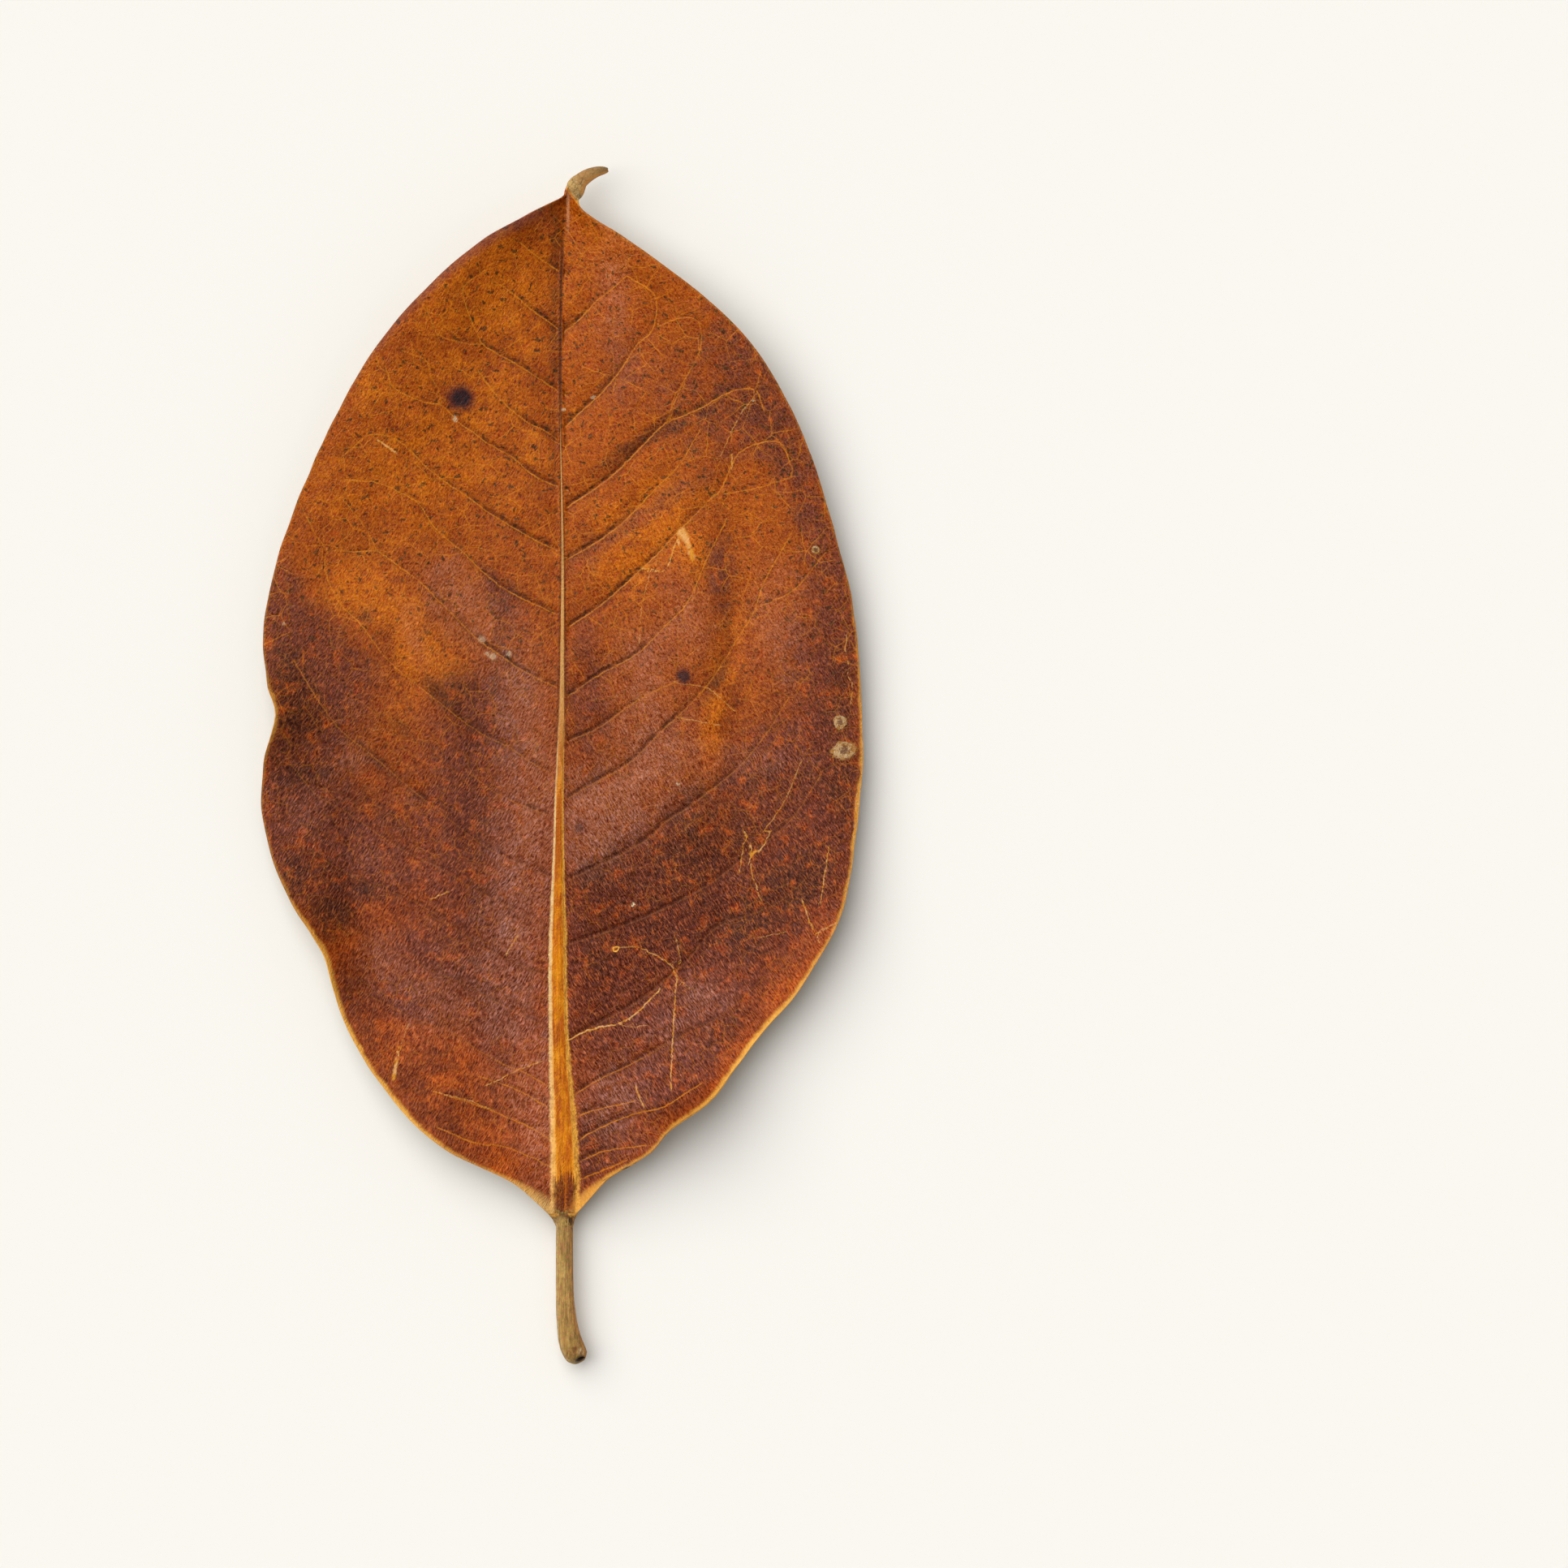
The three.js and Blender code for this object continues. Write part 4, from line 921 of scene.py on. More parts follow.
class Graph:
    """The nodes of one material."""

    def __init__(self, name):
        self.material = bpy.data.materials.new(name)
        self.material.use_nodes = True
        self.nodes = self.material.node_tree.nodes
        self.links = self.material.node_tree.links
        self.nodes.clear()

    def node(self, kind, settings=None, inputs=None, output=0):
        """Adds a node, sets it, feeds its sockets, and gives the chosen output, if it has one."""
        added = self.nodes.new(kind)
        for name, setting in (settings or {}).items():
            setattr(added, name, setting)
        for name, given in (inputs or {}).items():
            if isinstance(given, Value):
                self.links.new(given.socket, added.inputs[name])
            else:
                added.inputs[name].default_value = given
        return None if output is None else Value(self, added.outputs[output])

    def split(self, vector):
        parts = self.node("ShaderNodeSeparateXYZ", None, {0: vector})
        return [Value(self, socket) for socket in parts.socket.node.outputs]

    def attribute(self, name):
        return self.node("ShaderNodeAttribute", {"attribute_name": name}, None, "Vector")

    def vector(self, operation, inputs, output="Vector"):
        return self.node("ShaderNodeVectorMath", {"operation": operation}, inputs, output)

    def moved(self, vector, way):
        return self.vector("ADD", {0: vector, 1: way})

    def stretched(self, vector, by):
        return self.vector("MULTIPLY", {0: vector, 1: by})

    def scaled(self, vector, amount):
        return self.vector("SCALE", {0: vector, "Scale": amount})

    def distance(self, first, second):
        return self.vector("DISTANCE", {0: first, 1: second}, "Value")

    def length(self, vector):
        return self.vector("LENGTH", {0: vector}, "Value")

    def flat_length(self, vector):
        return self.length(self.stretched(vector, FLAT))

    def place(self):
        """The place on the leaf in millimetres."""
        coordinates = self.node("ShaderNodeTexCoord", None, None, "Object")
        return self.scaled(coordinates, 1 / MM)

    def noise(self, vector, size, detail, roughness, output="Fac"):
        inputs = {"Vector": vector, "Scale": 1 / size, "Detail": detail, "Roughness": roughness}
        return self.node("ShaderNodeTexNoise", None, inputs, output)

    def even(self, vector, size, detail, roughness):
        """Noise that goes as far below 0 as above it."""
        return self.noise(vector, size, detail, roughness) - 0.5

    def wander(self, vector, size, amount):
        """A way that changes from place to place, up to half the amount each way."""
        colour = self.noise(vector, size, 2, 0.55, "Color")
        return self.scaled(self.vector("SUBTRACT", {0: colour, 1: (0.5, 0.5, 0.5)}), amount)

    def net(self, vector, size):
        """Distance from the nearest line of an irregular net, in millimetres."""
        settings = {"voronoi_dimensions": "2D", "feature": "DISTANCE_TO_EDGE"}
        return self.node("ShaderNodeTexVoronoi", settings, {"Vector": vector, "Scale": 1 / size}) * size

    def mix(self, amount, first, second):
        settings = {"data_type": "RGBA", "blend_type": "MIX"}
        return self.node("ShaderNodeMix", settings, {0: amount, 6: first, 7: second}, 2)

    def coats(self, colour, *coats):
        """Lays coats of paint over a colour, one after the other, each as (how strongly, paint)."""
        for amount, coat in coats:
            colour = self.mix(amount, colour, coat)
        return colour

    def finish(self, colour, roughness, height, strength, constants):
        """The surface itself: its colour, its roughness and its fine relief in millimetres."""
        bump = self.node("ShaderNodeBump", None, {"Strength": strength, "Distance": MM, "Height": height})
        inputs = {"Base Color": colour, "Roughness": roughness, "Normal": bump}
        return self.surface({**inputs, **constants})

    def surface(self, inputs):
        shader = self.node("ShaderNodeBsdfPrincipled", None, inputs)
        self.node("ShaderNodeOutputMaterial", None, {"Surface": shader}, None)
        return self.material


# Finishes

ORANGE_BROWN = paint(160, 72, 3)
RED_BROWN = paint(125, 54, 21)
AMBER = paint(192, 97, 1)
RED_AMBER = paint(178, 76, 9)
PURPLE_BROWN = paint(95, 42, 34)
DARK_BROWN = paint(62, 28, 18)
RUST = paint(102, 35, 7)
VEIN_SHADE_BROWN = paint(88, 36, 18)
PAINTED_SHEEN_PINK = paint(166, 102, 76)
LIGHT_ORANGE = paint(218, 130, 20)
RED_ORANGE = paint(182, 74, 10)
BLACK_FLECK = paint(42, 36, 16)
PALE_AMBER = paint(238, 172, 70)
PALE_CREAM = paint(236, 190, 112)
CREAM = paint(234, 196, 134)
YELLOW_CREAM = paint(242, 172, 66)
RIB_AMBER = paint(212, 122, 1)
RIB_TAN = paint(204, 150, 84)
RIB_DARK = paint(176, 84, 2)
RIB_YELLOW = paint(232, 152, 12)
BASE_RED = paint(88, 28, 10)
GLINT_PINK = paint(184, 116, 94)
GLINT_ORANGE = paint(190, 92, 34)
TROUGH_SHADE = paint(40, 22, 22)
RIM_SHEEN_MAUVE = paint(128, 78, 74)
MARGIN_ORANGE = paint(184, 82, 12)
FOLD_SHEEN_PINK = paint(216, 152, 104)
TONGUE = paint(194, 158, 94)
EDGE_ORANGE = paint(234, 152, 46)
CREASE_SHADE = paint(60, 26, 12)
SPOT = paint(32, 30, 36)
HALO = paint(80, 34, 32)
SPECK = paint(226, 206, 166)
SCALE_PALE = paint(196, 162, 118)
SCALE_OCHRE = paint(160, 108, 44)
SCALE_DARK = paint(104, 62, 40)
SCRATCH = paint(230, 170, 100)
SCRATCH_YELLOW = paint(220, 148, 40)
FELT = paint(158, 127, 72)
FELT_DARK = paint(104, 78, 40)
FELT_RUST = paint(140, 86, 36)
OLIVE_FLECK = paint(92, 84, 38)
STALK_TAN = paint(182, 144, 76)
STALK_ORANGE = paint(196, 130, 54)
STALK_DARK = paint(122, 90, 44)
STALK_PINK = paint(174, 112, 72)
STALK_OLIVE = paint(128, 116, 56)
STALK_FOOT = paint(166, 126, 60)
STALK_PALE = paint(198, 166, 112)
FOOT_RIM_HIGHLIGHT = paint(226, 204, 160)
SPECK_AND_SHADE_BROWN = paint(50, 30, 16)

# How much a light or dark grain changes the red, the green and the blue of a paint, and where that stops.
# Light grain turns whiter, partly as painted glints on the fine wrinkles.
GRAIN_AND_GLINT_TINT = (1.0, 1.8, 3.2)
DARKEST_TINT = (0.15, 0.15, 0.15)
# A grain that only turns a paint towards orange or towards plum.
HUE_TINT = (0.3, -0.5, -2.2)
FLAT = (1, 1, 0)
WHITE = (1, 1, 1)


def face_fields(g):
    """The places, noises and painted zones that all parts of the face's finish share."""
    f = SimpleNamespace()
    f.place = g.place()
    f.flat = g.stretched(f.place, FLAT)
    f.y = g.split(f.place)[1]
    f.jitter = g.wander(f.flat, 0.9, 1)
    f.bent = g.moved(f.flat, g.wander(f.flat, 5, 2.6))
    f.frayed = g.moved(f.bent, g.scaled(f.jitter, 0.7))
    f.broad = g.even(f.flat, 8, 5, 0.7)
    f.middling = g.even(f.frayed, 2.4, 4, 0.7)
    f.fine = g.even(f.flat, 0.48, 2, 0.7)
    f.amber, f.purple, f.dark = g.split(g.attribute("zones"))
    f.bloom, f.pale_margin, _ = g.split(g.attribute("sheen"))
    f.to_margin, f.rib, f.offset = g.split(g.attribute("lie"))
    # Fine wrinkles run across the side veins, so they lean towards the midrib on both sides of it.
    waver_x, waver_y, _ = g.split(g.wander(f.flat, 2.6, 0.9))
    aside, ahead = abs(f.offset) + waver_x, f.y + waver_y
    lean, upright = WRINKLE_LEAN
    leaning = {0: aside * upright + ahead * lean, 1: ahead * upright - aside * lean}
    leaning = g.node("ShaderNodeCombineXYZ", None, leaning)
    f.wrinkles = g.even(g.stretched(leaning, WRINKLE_STRETCH), 1, 2, 0.55)
    f.upper_part = (f.y + f.broad * 40).rise(*UPPER_PART)
    return f


def face_ground(g, f):
    """The blade's mottled colour, with painted sheen, painted glints on the crests of its fine wrinkles and
    painted shade in their troughs, before any line or mark.
    """
    patches = g.even(f.bent, 4.5, 4, 0.7)
    uneven = f.broad * 1.3 + f.middling * 1.2 + patches * 0.9
    rust = g.noise(f.bent, 3.6, 5, 0.72).rise(0.5, 0.64)
    f.purple_mask = (f.purple + uneven * (0.3 + f.purple * 0.8)).rise(0.15, 0.75)
    dark_mask = (f.dark + uneven * (0.2 + f.dark)).rise(0.15, 0.75)
    embers = g.noise(f.bent, 3.0, 5, 0.76).rise(0.5, 0.7)
    # Painted sheen: a pale pink veil where the glossy face would catch the light, patchy and broken by the
    # wrinkles.
    shine = (f.bloom * (1 + patches * 2.5 + f.middling)).rise(0, 0.85)
    colour = g.coats(
        g.mix(f.upper_part, RED_BROWN, ORANGE_BROWN),
        ((f.amber + uneven).rise(0.15, 0.8) * 0.85, g.mix(f.upper_part.rise(0.1, 0.6), RED_AMBER, AMBER)),
        (rust * (0.62 - f.upper_part * 0.3), RUST),
        (f.purple_mask * 0.88, PURPLE_BROWN),
        (dark_mask * 0.8, DARK_BROWN),
        (embers * (0.5 + f.purple_mask * 0.3), RED_ORANGE),
        (shine * (0.54 + f.wrinkles * 0.6), PAINTED_SHEEN_PINK),
    )
    # Painted glints lighten the crests of the fine wrinkles, pinker where the painted sheen lies, and painted
    # shade darkens their troughs.
    leathery = 1 - f.upper_part
    pinkish = (f.bloom + f.middling * 1.2).rise(0.1, 0.6)
    depth = 0.08 + leathery * 0.14 + f.purple_mask * 0.16
    colour = g.coats(
        colour,
        (f.wrinkles.rise(0.0, 0.16) * depth * (1 - pinkish * 0.35), g.mix(pinkish, GLINT_ORANGE, GLINT_PINK)),
        (f.wrinkles.fall(-0.16, 0.0) * depth, TROUGH_SHADE),
    )
    # The grain is partly the leaf's own and partly painted glints and shade on its fine wrinkles.
    grain = f.broad * 0.4 + f.middling * (0.5 + leathery * 0.2) + f.fine * 1.8 + f.wrinkles * (1.1 + leathery)
    hue = g.even(f.frayed, 0.6, 3, 0.75)
    tint = g.moved(g.scaled(GRAIN_AND_GLINT_TINT, grain), WHITE)
    tint = g.stretched(tint, g.moved(g.scaled(HUE_TINT, hue), WHITE))
    colour = g.stretched(colour, g.vector("MAXIMUM", {0: tint, 1: DARKEST_TINT}))
    flecks = g.noise(f.frayed, 0.95, 1, 0.5).rise(0.64, 0.68) * f.upper_part
    return g.mix(flecks * 0.75, colour, BLACK_FLECK)


def face_nets(g, f, colour):
    """Fine nets of veins: two close ones all over, and a wide one that shows mostly in the upper part."""
    f.lit_lines = 0.4 + g.noise(f.flat, 3, 2, 0.6) * 1.2
    f.fine_net = g.net(f.frayed, 0.9).fall(0.02, 0.13)
    f.middle_net = g.net(f.frayed, 2.1).fall(0.02, 0.14)
    coarse_net = g.net(g.moved(f.flat, g.wander(f.flat, 3.4, 1.3)), 4.2).fall(0.02, 0.14)
    shown = g.noise(f.flat, 6, 2, 0.5).rise(0.36, 0.62)
    return g.coats(
        colour,
        (f.fine_net * f.lit_lines * (0.05 + f.upper_part * 0.09), LIGHT_ORANGE),
        (f.middle_net * shown * 0.22, LIGHT_ORANGE),
        (coarse_net * shown * (0.04 + f.upper_part * 0.46), LIGHT_ORANGE),
    )


def face_veins(g, f, colour):
    """Side veins: painted shade in and beside the groove on their upper side, and a thin light line."""
    vein_way = g.attribute("vein_way")
    dark, light, _ = g.split(g.attribute("vein_look"))
    near = g.split(vein_way)[2].fall(1.4, 2.2)
    # The lower left veins hardly show.
    dark = dark * (1 - f.offset.fall(-1, 1) * (1 - f.upper_part) * 0.55)
    way = g.moved(vein_way, g.scaled(f.jitter, 0.5))
    from_line = g.flat_length(way)
    # The groove's painted shade lies a little above the light line, on the wall turned from the light; the
    # same mask deepens the groove's bump.
    from_groove = g.flat_length(g.moved(way, GROOVE_ABOVE_LINE))
    f.groove = from_groove.fall(0.05, 0.65) * near * dark
    broken = g.noise(f.flat, 2.2, 3, 0.6).rise(0.36, 0.6)
    # Painted shade also spreads beside the groove, partly the rusty brown along the veins.
    groove_side_shade = (from_groove + f.middling * 0.8).fall(0.2, 1.7) * near * dark * broken
    line = from_line.fall(0.04, 0.2) * near * light
    flecks = g.noise(f.flat, 1.1, 1, 0.5).rise(0.58, 0.66) * from_groove.fall(0.3, 0.8) * near
    return g.coats(
        colour,
        (groove_side_shade * 0.5, VEIN_SHADE_BROWN),
        (f.groove * (0.1 + f.upper_part * 0.25 + broken * 0.3), DARK_BROWN),
        (flecks * f.upper_part * 0.6, BLACK_FLECK),
        (line * f.lit_lines * (0.4 + broken * 0.3), LIGHT_ORANGE),
    )


def face_scratches(g, f, colour):
    scratch_way = g.attribute("scratch_way")
    strength, width, _ = g.split(g.attribute("scratch_look"))
    from_line = g.flat_length(g.moved(scratch_way, g.scaled(f.jitter, 0.7)))
    near = g.split(scratch_way)[2].fall(0.9, 1.6)
    f.scratch = (from_line / width).fall(0.2, 0.85) * near * strength
    f.scratch = f.scratch * g.noise(f.flat, 1.3, 2, 0.6).rise(0.24, 0.42)
    yellowing = g.noise(f.flat, 1.5, 3, 0.6).rise(0.44, 0.58)
    return g.mix(f.scratch * 0.85, colour, g.mix(yellowing, SCRATCH, SCRATCH_YELLOW))


def face_spots(g, f, colour):
    """Dark spots, pale specks, a yellow ring and the pale scale marks."""
    for at_x, at_y, radius, halo, strength in DARK_SPOTS:
        away = g.distance(f.flat, (at_x, at_y, 0)) + f.middling * 1.2 + f.fine * 0.6
        depth = strength * (0.8 + f.wrinkles * 1.4 + f.fine)
        colour = g.coats(
            colour,
            (away.fall(radius * 0.8, halo) * strength * 0.8, HALO),
            (away.fall(radius * 0.6, radius * 1.1) * depth, SPOT),
        )
    for at_x, at_y, radius, strength in WHITE_SPECKS:
        away = g.distance(f.flat, (at_x, at_y, 0)) + f.fine * 1.4 + f.wrinkles * 0.6
        colour = g.mix(away.fall(radius * 0.5, radius) * strength, colour, SPECK)
    ring_x, ring_y, ring_radius, half_line = YELLOW_RING
    away = g.distance(f.frayed, (ring_x, ring_y, 0))
    colour = g.mix(abs(away - ring_radius).fall(half_line * 0.4, half_line), colour, YELLOW_CREAM)
    f.marks = 0
    for at_x, at_y, half_width, half_height, lightness in SCALE_MARKS:
        squeeze = (1 / half_width, 1 / half_height, 1)
        shift = (-at_x / half_width, -at_y / half_height, 0)
        away = g.length(g.moved(g.stretched(f.flat, squeeze), shift)) + f.middling * 1.6 + f.fine * 0.5
        inside = away.fall(0.85, 1.0)
        pale = g.mix((f.middling + f.fine).rise(-0.15, 0.15), SCALE_OCHRE, SCALE_PALE)
        colour = g.coats(
            colour,
            (inside * lightness, pale),
            (away.fall(0.2, 0.6) * lightness * 0.85, SCALE_DARK),
        )
        f.marks = inside * (0.4 + away * 0.6) + f.marks
    return colour


def face_midrib(g, f, colour):
    """The midrib: painted shade along the crease by the tip, a thin tan line further down with painted shade
    in the grooves beside it, then a golden band with cream borders, and dark red where it meets the stalk."""
    across = abs(f.rib)
    streaks = g.noise(g.stretched(f.place, (3.4, 0.14, 1)), 1, 3, 0.65)
    shown = f.y.fall(*RIB_LINE_BELOW)
    golden = (f.y + f.middling * 10).fall(*GOLDEN_RIB_BELOW)
    along = g.noise(g.stretched(f.place, (0.5, 0.16, 0)), 1, 4, 0.65) + f.fine * 0.12
    band = g.coats(
        g.mix(golden, RIB_TAN, RIB_AMBER),
        (along.fall(0.44, 0.54) * golden * 0.85, RIB_DARK),
        (along.rise(0.55, 0.63) * golden * 0.5, RIB_YELLOW),
    )
    band = g.scaled(band, 0.35 + streaks * 1.3)
    # Painted shade in the grooves beside the band.
    beside = across.rise(0.8, 1.2) * across.fall(1.4, 2.2)
    f.core = (across + f.middling * 0.4).fall(0.72, 0.92)

    outer = (across + f.middling * 0.5 + f.fine * 0.4).fall(1.0, 1.25)
    border = (across + f.middling * 0.3).rise(0.6, 0.78) * outer
    lumps = g.noise(f.flat, 1.6, 3, 0.7).rise(0.34, 0.56)
    border_paint = g.mix((f.rib - f.y * 0.02).rise(-0.4, 1.0), CREAM, YELLOW_CREAM)

    # The dark red base runs up in streaks and leaves a thin golden line in the middle.
    base = (f.y + streaks * 14 + f.fine * 4).fall(*RED_BASE_BELOW)
    base = base * (abs(f.offset - 0.15 + f.fine) + streaks).rise(0.4, 0.9)
    base = base * (across + f.middling * 0.5).fall(0.8, 1.1) * (0.85 + f.fine * 1.4 + f.middling)
    stalk_end = (f.y + f.middling * 4 + f.fine * 3).fall(*STALK_END_BELOW) * across.fall(0.7, 1.0)
    # Painted shade along the crease near the tip.
    crease = (abs(f.offset) + f.middling * 0.3).fall(0.1, 0.5) * (1 - shown)
    crease = crease * (1 - f.y.rise(*CREASE_FADES) * 0.75)
    f.streaks = streaks * f.core * shown
    return g.coats(
        colour,
        (beside * shown * (1 - golden) * 0.5, CREASE_SHADE),
        (f.core * shown * 0.96, band),
        (border * shown * golden * (0.55 + lumps * 0.42), border_paint),
        (base * 0.9, BASE_RED),
        (stalk_end * 0.8, STALK_OLIVE),
        (crease * 0.75, CREASE_SHADE),
    )


def face_margin(g, f, colour):
    """A pale line along the margin, wider by the stalk, with an orange glow inside it. The upper left
    margin turns down and gets a mauve painted sheen instead."""
    by_stalk = f.y.fall(*SHOULDERS_BELOW)
    by_tip = f.y.rise(*MARGIN_LINE_ENDS)
    streaks = g.even(g.stretched(f.frayed, (1.6, 0.6, 0)), 1, 3, 0.7)
    reach = 0.45 + f.pale_margin * 0.65 + by_stalk * 2.4
    edge = (f.to_margin + f.middling * 1.2 + f.fine * 0.5 + streaks * by_stalk * 3).fall(0.15, reach)
    edge = edge * (1 - f.core * by_stalk * 0.85)
    amount = (0.15 + f.pale_margin * 0.85) * (1 - by_stalk * (0.25 - streaks * 1.5))
    # Painted sheen: the upper left rim turns down and catches the light, so it is painted mauve.
    mauve = f.offset.fall(-6, -1) * f.y.rise(*RIM_SHEEN_ABOVE)
    rim_sheen = f.to_margin.fall(0.1, 0.8 + f.y.rise(*RIM_SHEEN_WIDENS) * 1.4) * mauve
    glow = (f.to_margin + f.middling * 5 + f.fine * 2).fall(0.2, 2.2) * f.pale_margin
    return g.coats(
        colour,
        (rim_sheen * 0.5, RIM_SHEEN_MAUVE),
        (glow * (0.4 + f.wrinkles + f.fine), MARGIN_ORANGE),
        (edge * amount * (1 - mauve) * (1 - by_tip),
         g.mix(by_stalk * f.offset.fall(-1, 1), PALE_AMBER, PALE_CREAM)),
    )


def face_tip(g, f, colour):
    """The tongue at the tip has turned over, so it shows the felt of the underside past a slanting line.
    A pale stripe of painted sheen runs up to it beside the crease."""
    x = g.split(f.place)[0]
    # Painted sheen: a pale stripe on the lit side of the crease.
    stripe = abs(x + f.fine * 0.4 - FOLD_SHEEN_ASIDE).fall(0.1, 0.4) * f.y.rise(*FOLD_SHEEN_ABOVE)
    up_slope = x * TONGUE_SLANT + f.y + f.fine * 0.5
    by_tongue = f.y.rise(*TONGUE_ABOVE)
    line = up_slope.rise(*TONGUE_LINE_FROM) * up_slope.fall(*TONGUE_FELT_FROM)
    return g.coats(
        colour,
        (stripe * 0.55, FOLD_SHEEN_PINK),
        (up_slope.rise(*TONGUE_FELT_FROM) * by_tongue, felt_colour(g, f.place, TONGUE)),
        (line * by_tongue * 0.6, EDGE_ORANGE),
    )


def leaf_face_finish():
    g = Graph("leaf_face")
    f = face_fields(g)
    colour = face_ground(g, f)
    for part in (face_nets, face_veins, face_scratches, face_spots, face_midrib, face_margin, face_tip):
        colour = part(g, f, colour)
    height = (
        f.wrinkles * (0.3 - f.upper_part * 0.14)
        + f.middling * 0.3
        + f.fine * 0.15
        + f.fine_net * 0.03
        + f.middle_net * 0.03
        - f.groove * 0.2
        + f.scratch * 0.03
        + f.marks * 0.12
        + f.streaks * 0.2
    )
    roughness = 0.42 + f.middling * 0.2 + f.purple_mask * 0.04 + f.scratch * 0.2
    return g.finish(colour, roughness, height, 1.0, {"Specular IOR Level": 0.2})


def felt_colour(g, place, ground):
    """Tan felt with olive and rusty specks, as the underside has."""
    broad = g.even(place, 11, 4, 0.6)
    middling = g.even(place, 1.6, 3, 0.6)
    fine = g.even(place, 0.3, 2, 0.6)
    colour = g.coats(
        ground,
        ((broad + middling * 0.5).rise(-0.2, 0.25) * 0.6, FELT_RUST),
        (g.noise(place, 0.55, 1, 0.5).rise(0.56, 0.66) * 0.5, OLIVE_FLECK),
        (g.noise(place, 0.7, 2, 0.5).rise(0.54, 0.66) * 0.6, STALK_PALE),
    )
    return g.scaled(colour, 1 + fine * 1.0 + middling * 0.6)


def underside_finish():
    """Felt with paler ribs and a fine net, browner towards the end of the rolled tip."""
    g = Graph("leaf_underside")
    place = g.place()
    along_tip, _, roll_edge = g.split(g.attribute("tip_lie"))
    vein_way = g.attribute("vein_way")
    near_vein = g.split(vein_way)[2].fall(1.2, 2.0)
    vein_depth = g.split(g.attribute("vein_look"))[2]
    on_vein = g.flat_length(vein_way).fall(0.2, 0.8) * near_vein * vein_depth
    rib = abs(g.split(g.attribute("lie"))[1])
    net = g.net(place, 1.1).fall(0.03, 0.16)
    colour = g.coats(
        felt_colour(g, place, g.mix(along_tip.rise(0, 0.02), FELT, TONGUE)),
        (on_vein * 0.45, STALK_TAN),
        (rib.fall(0.6, 1.2) * 0.6, STALK_TAN),
        (net * 0.25, FELT_DARK),
        (along_tip.rise(0.3, 0.6) * 0.5, FELT_RUST),
        (along_tip.rise(0.6, 1) * 0.7, FELT_DARK),
        (roll_edge * 0.75, EDGE_ORANGE),
    )
    fine = g.even(place, 0.22, 2, 0.6)
    height = fine * 0.12 + g.noise(place, 1.6, 3, 0.6) * 0.12 - net * 0.05
    constants = {"Specular IOR Level": 0.2, "Sheen Weight": 0.2, "Sheen Roughness": 0.6}
    return g.finish(colour, 0.88 + fine * 0.1, height, 0.9, constants)


def stalk_finish():
    """Streaked tan bark, orange on the right and pale on the left, with a dark collar, a slit and a hollow
    foot painted dark as their shade, and painted highlights on the rim above the hollow.
    """
    g = Graph("leaf_stalk")
    place = g.place()
    x, y, z = g.split(place)
    along, around, in_hollow = g.split(g.attribute("stalk_lie"))
    streaks = g.noise(g.stretched(place, (2.8, 0.16, 2.8)), 1, 4, 0.7)
    blotches = g.even(place, 3, 3, 0.6)
    grain = g.even(g.stretched(place, (1, 0.5, 1)), 0.5, 3, 0.7)
    uneven = blotches * 0.5 + grain * 0.4
    jagged = y + blotches * 3 + grain * 3
    specks = g.noise(place, 0.5, 2, 0.6).rise(0.53, 0.6)
    specks = specks * (y + blotches * 3).rise(*COLLAR_SPECKS_ABOVE) * x.rise(0, 0.7)
    slit = g.length(g.stretched(g.vector("SUBTRACT", {0: place, 1: COLLAR_SLIT}), COLLAR_SLIT_STRETCH))
    corners = (abs(around) + uneven * 0.5).rise(0.35, 0.6) * (y + grain).rise(*COLLAR_CORNERS_ABOVE)
    by_hollow = (g.distance(place, FOOT_RIM_SPOT) + grain * 1.2).fall(0.4, 1.1)
    bruise = g.distance(place, FOOT_BRUISE) + grain
    colour = g.coats(
        g.mix(along.fall(0.1, 0.6), STALK_TAN, STALK_FOOT),
        ((around + uneven).rise(0.2, 0.8) * 0.8, STALK_ORANGE),
        ((around + uneven).fall(-0.9, -0.3) * 0.75, STALK_PALE),
        (streaks.fall(0.36, 0.52) * 0.8, STALK_DARK),
        (streaks.rise(0.54, 0.64) * 0.35, STALK_PALE),
        (g.noise(place, 0.8, 3, 0.7).rise(0.5, 0.6) * 0.6, STALK_PINK),
        (g.noise(place, 0.65, 3, 0.7).fall(0.38, 0.48) * 0.4, STALK_OLIVE),
        (jagged.rise(*COLLAR_SHADE_ABOVE) * 0.2, STALK_DARK),
        (specks * 0.6, SPECK_AND_SHADE_BROWN),
        # A slit in the collar, painted dark as its shade.
        ((slit + grain).fall(0.6, 1.1) * z.rise(*COLLAR_SLIT_TOP) * 0.85, SPECK_AND_SHADE_BROWN),
        (jagged.rise(*COLLAR_RED_ABOVE) * 0.6, BASE_RED),
        (corners * 0.7, PALE_AMBER),
        # Painted highlights: pale specks on the rim above the hollow.
        (by_hollow * (grain + blotches * 0.4).rise(-0.12, 0.12) * 0.7, FOOT_RIM_HIGHLIGHT),
        (bruise.fall(0.3, 0.8) * 0.5, BASE_RED),
        # Painted shade fills the hollow in the foot.
        (in_hollow.rise(0.2, 0.8), SPECK_AND_SHADE_BROWN),
    )
    colour = g.scaled(colour, 1 + grain * 1.3 + blotches * 0.35)
    height = streaks * 0.45 + grain * 0.15
    return g.finish(colour, 0.62 + grain * 0.2, height, 0.9, {"Specular IOR Level": 0.25})


def floor_finish():
    return Graph("pale_table").surface(
        {"Base Color": FLOOR_COLOUR, "Roughness": 0.95, "Specular IOR Level": 0.0}
    )


# Scene

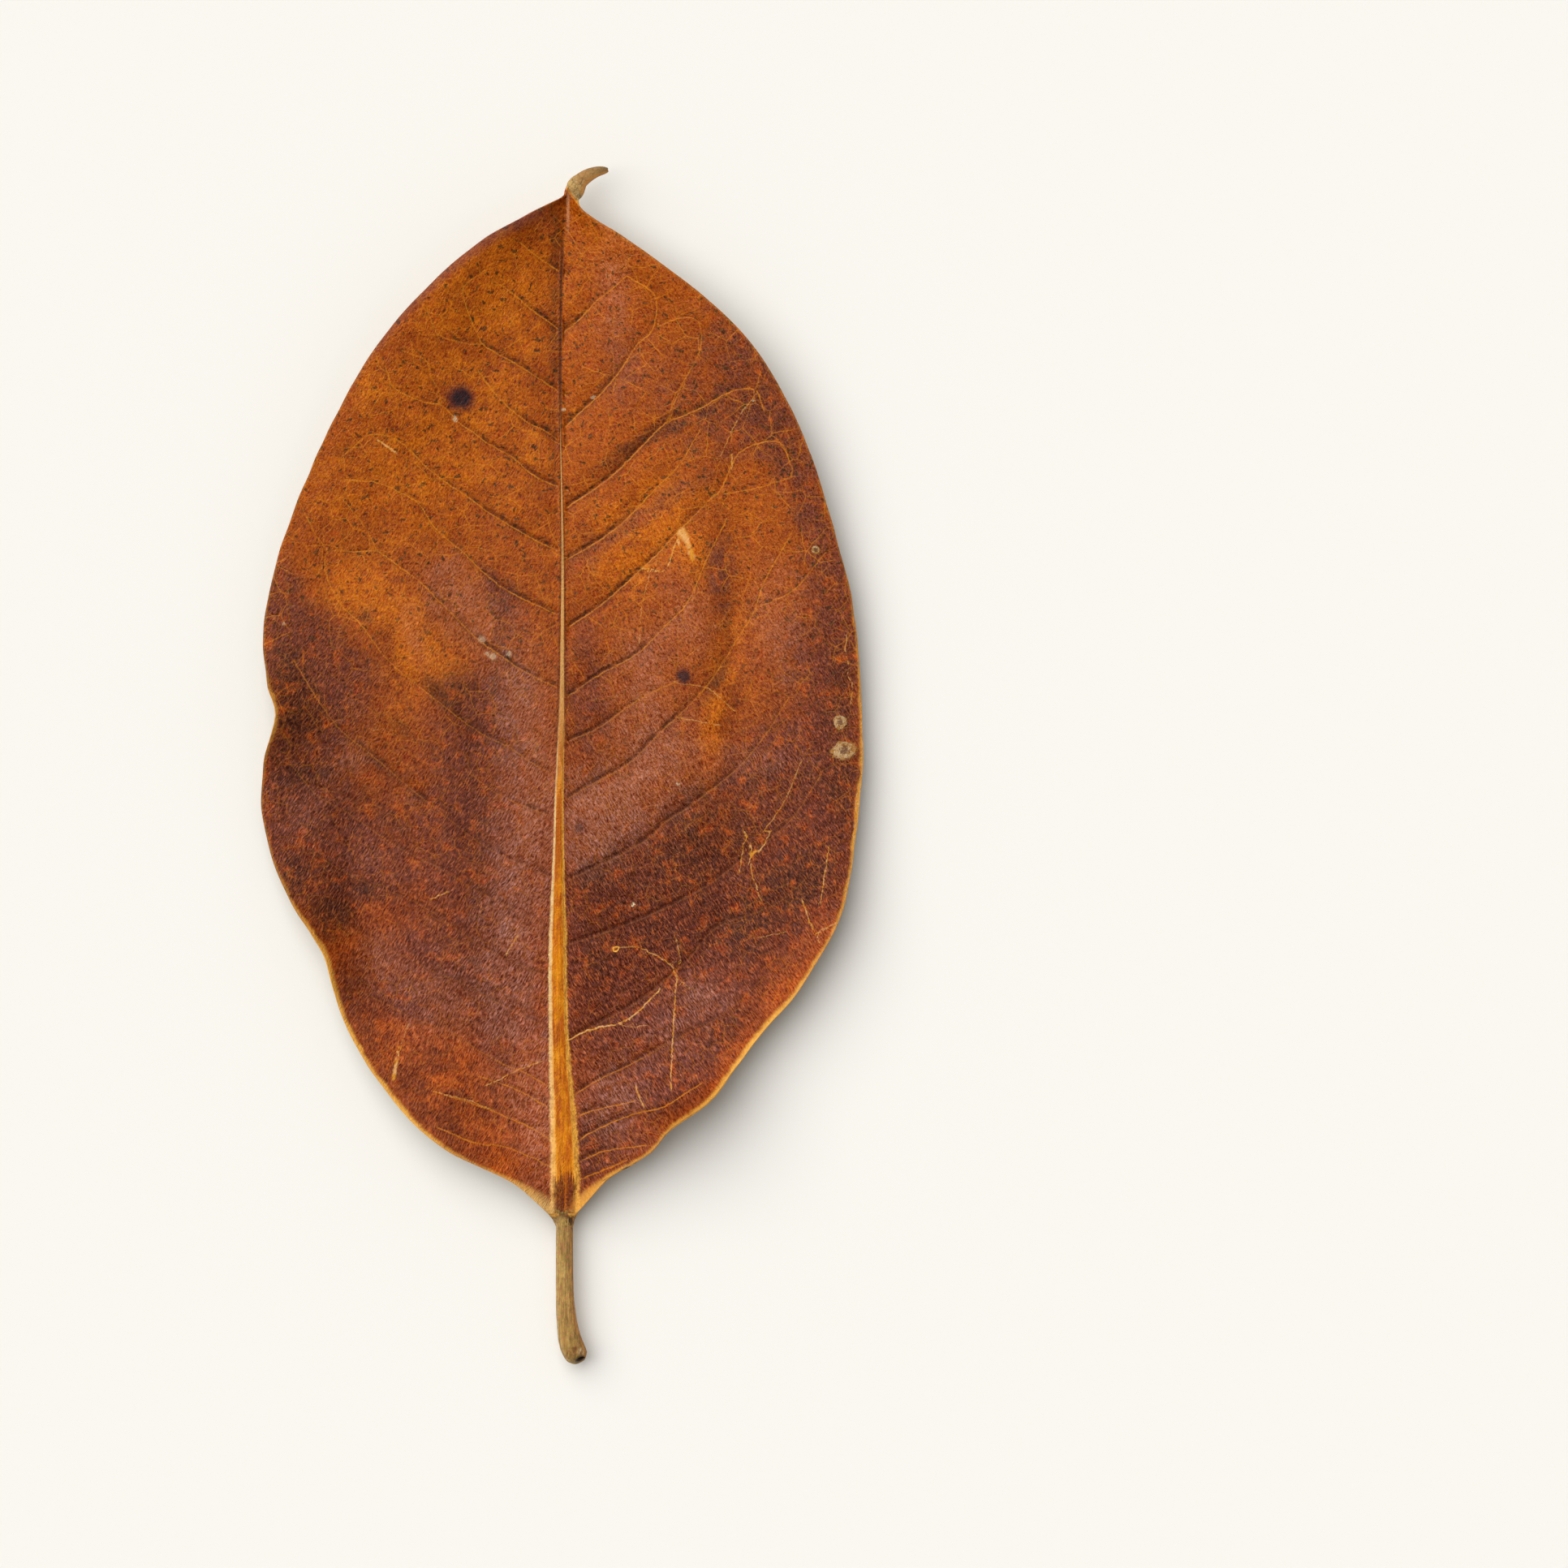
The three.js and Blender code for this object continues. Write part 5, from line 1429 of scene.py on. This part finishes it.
def lay_floor():
    bm = bmesh.new()
    bmesh.ops.create_grid(bm, x_segments=1, y_segments=1, size=FLOOR_HALF_SIZE)
    mesh = bpy.data.meshes.new("table_top")
    bm.to_mesh(mesh)
    bm.free()
    mesh.materials.append(floor_finish())
    table = bpy.data.objects.new("table_top", mesh)
    bpy.context.scene.collection.objects.link(table)


def sun_lamp(name, strength, angle, elevation):
    lamp = bpy.data.lights.new(name, "SUN")
    lamp.energy = strength
    lamp.angle = angle
    sun = bpy.data.objects.new(name, lamp)
    across = math.cos(elevation) / math.hypot(*SHADOW_DIRECTION)
    ray = Vector((SHADOW_DIRECTION[0] * across, SHADOW_DIRECTION[1] * across, -math.sin(elevation)))
    sun.rotation_euler = ray.to_track_quat("-Z", "Y").to_euler()
    bpy.context.scene.collection.objects.link(sun)
    return sun


def light_scene():
    """The wide lamp gives the light and the soft shadow. The narrow one gives only the gloss."""
    sun_lamp("soft_window", WINDOW_STRENGTH, WINDOW_ANGLE, WINDOW_ELEVATION).visible_glossy = False
    sun_lamp("gloss_light", GLOSS_STRENGTH, GLOSS_ANGLE, GLOSS_ELEVATION).visible_diffuse = False
    world = bpy.data.worlds.new("even_surround")
    world.use_nodes = True
    background = world.node_tree.nodes["Background"]
    background.inputs["Color"].default_value = (1, 1, 1, 1)
    background.inputs["Strength"].default_value = SURROUND_STRENGTH
    world.cycles_visibility.glossy = False
    bpy.context.scene.world = world


def place_camera():
    lens = bpy.data.cameras.new("above")
    lens.lens = LENS
    lens.sensor_width = SENSOR
    lens.sensor_fit = "HORIZONTAL"
    lens.clip_end = CAMERA_REACH
    camera = bpy.data.objects.new("above", lens)
    over_x, over_y, level = CAMERA_OVER
    camera.location = (over_x, over_y, level + FRAME_WIDTH * LENS / SENSOR)
    bpy.context.scene.collection.objects.link(camera)
    bpy.context.scene.camera = camera


bpy.context.scene.view_settings.view_transform = "Standard"
leaf = dried_leaf([leaf_face_finish(), underside_finish(), stalk_finish()])
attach(leaf, "root")
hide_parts("magnolia_leaf")
lay_floor()
light_scene()
place_camera()
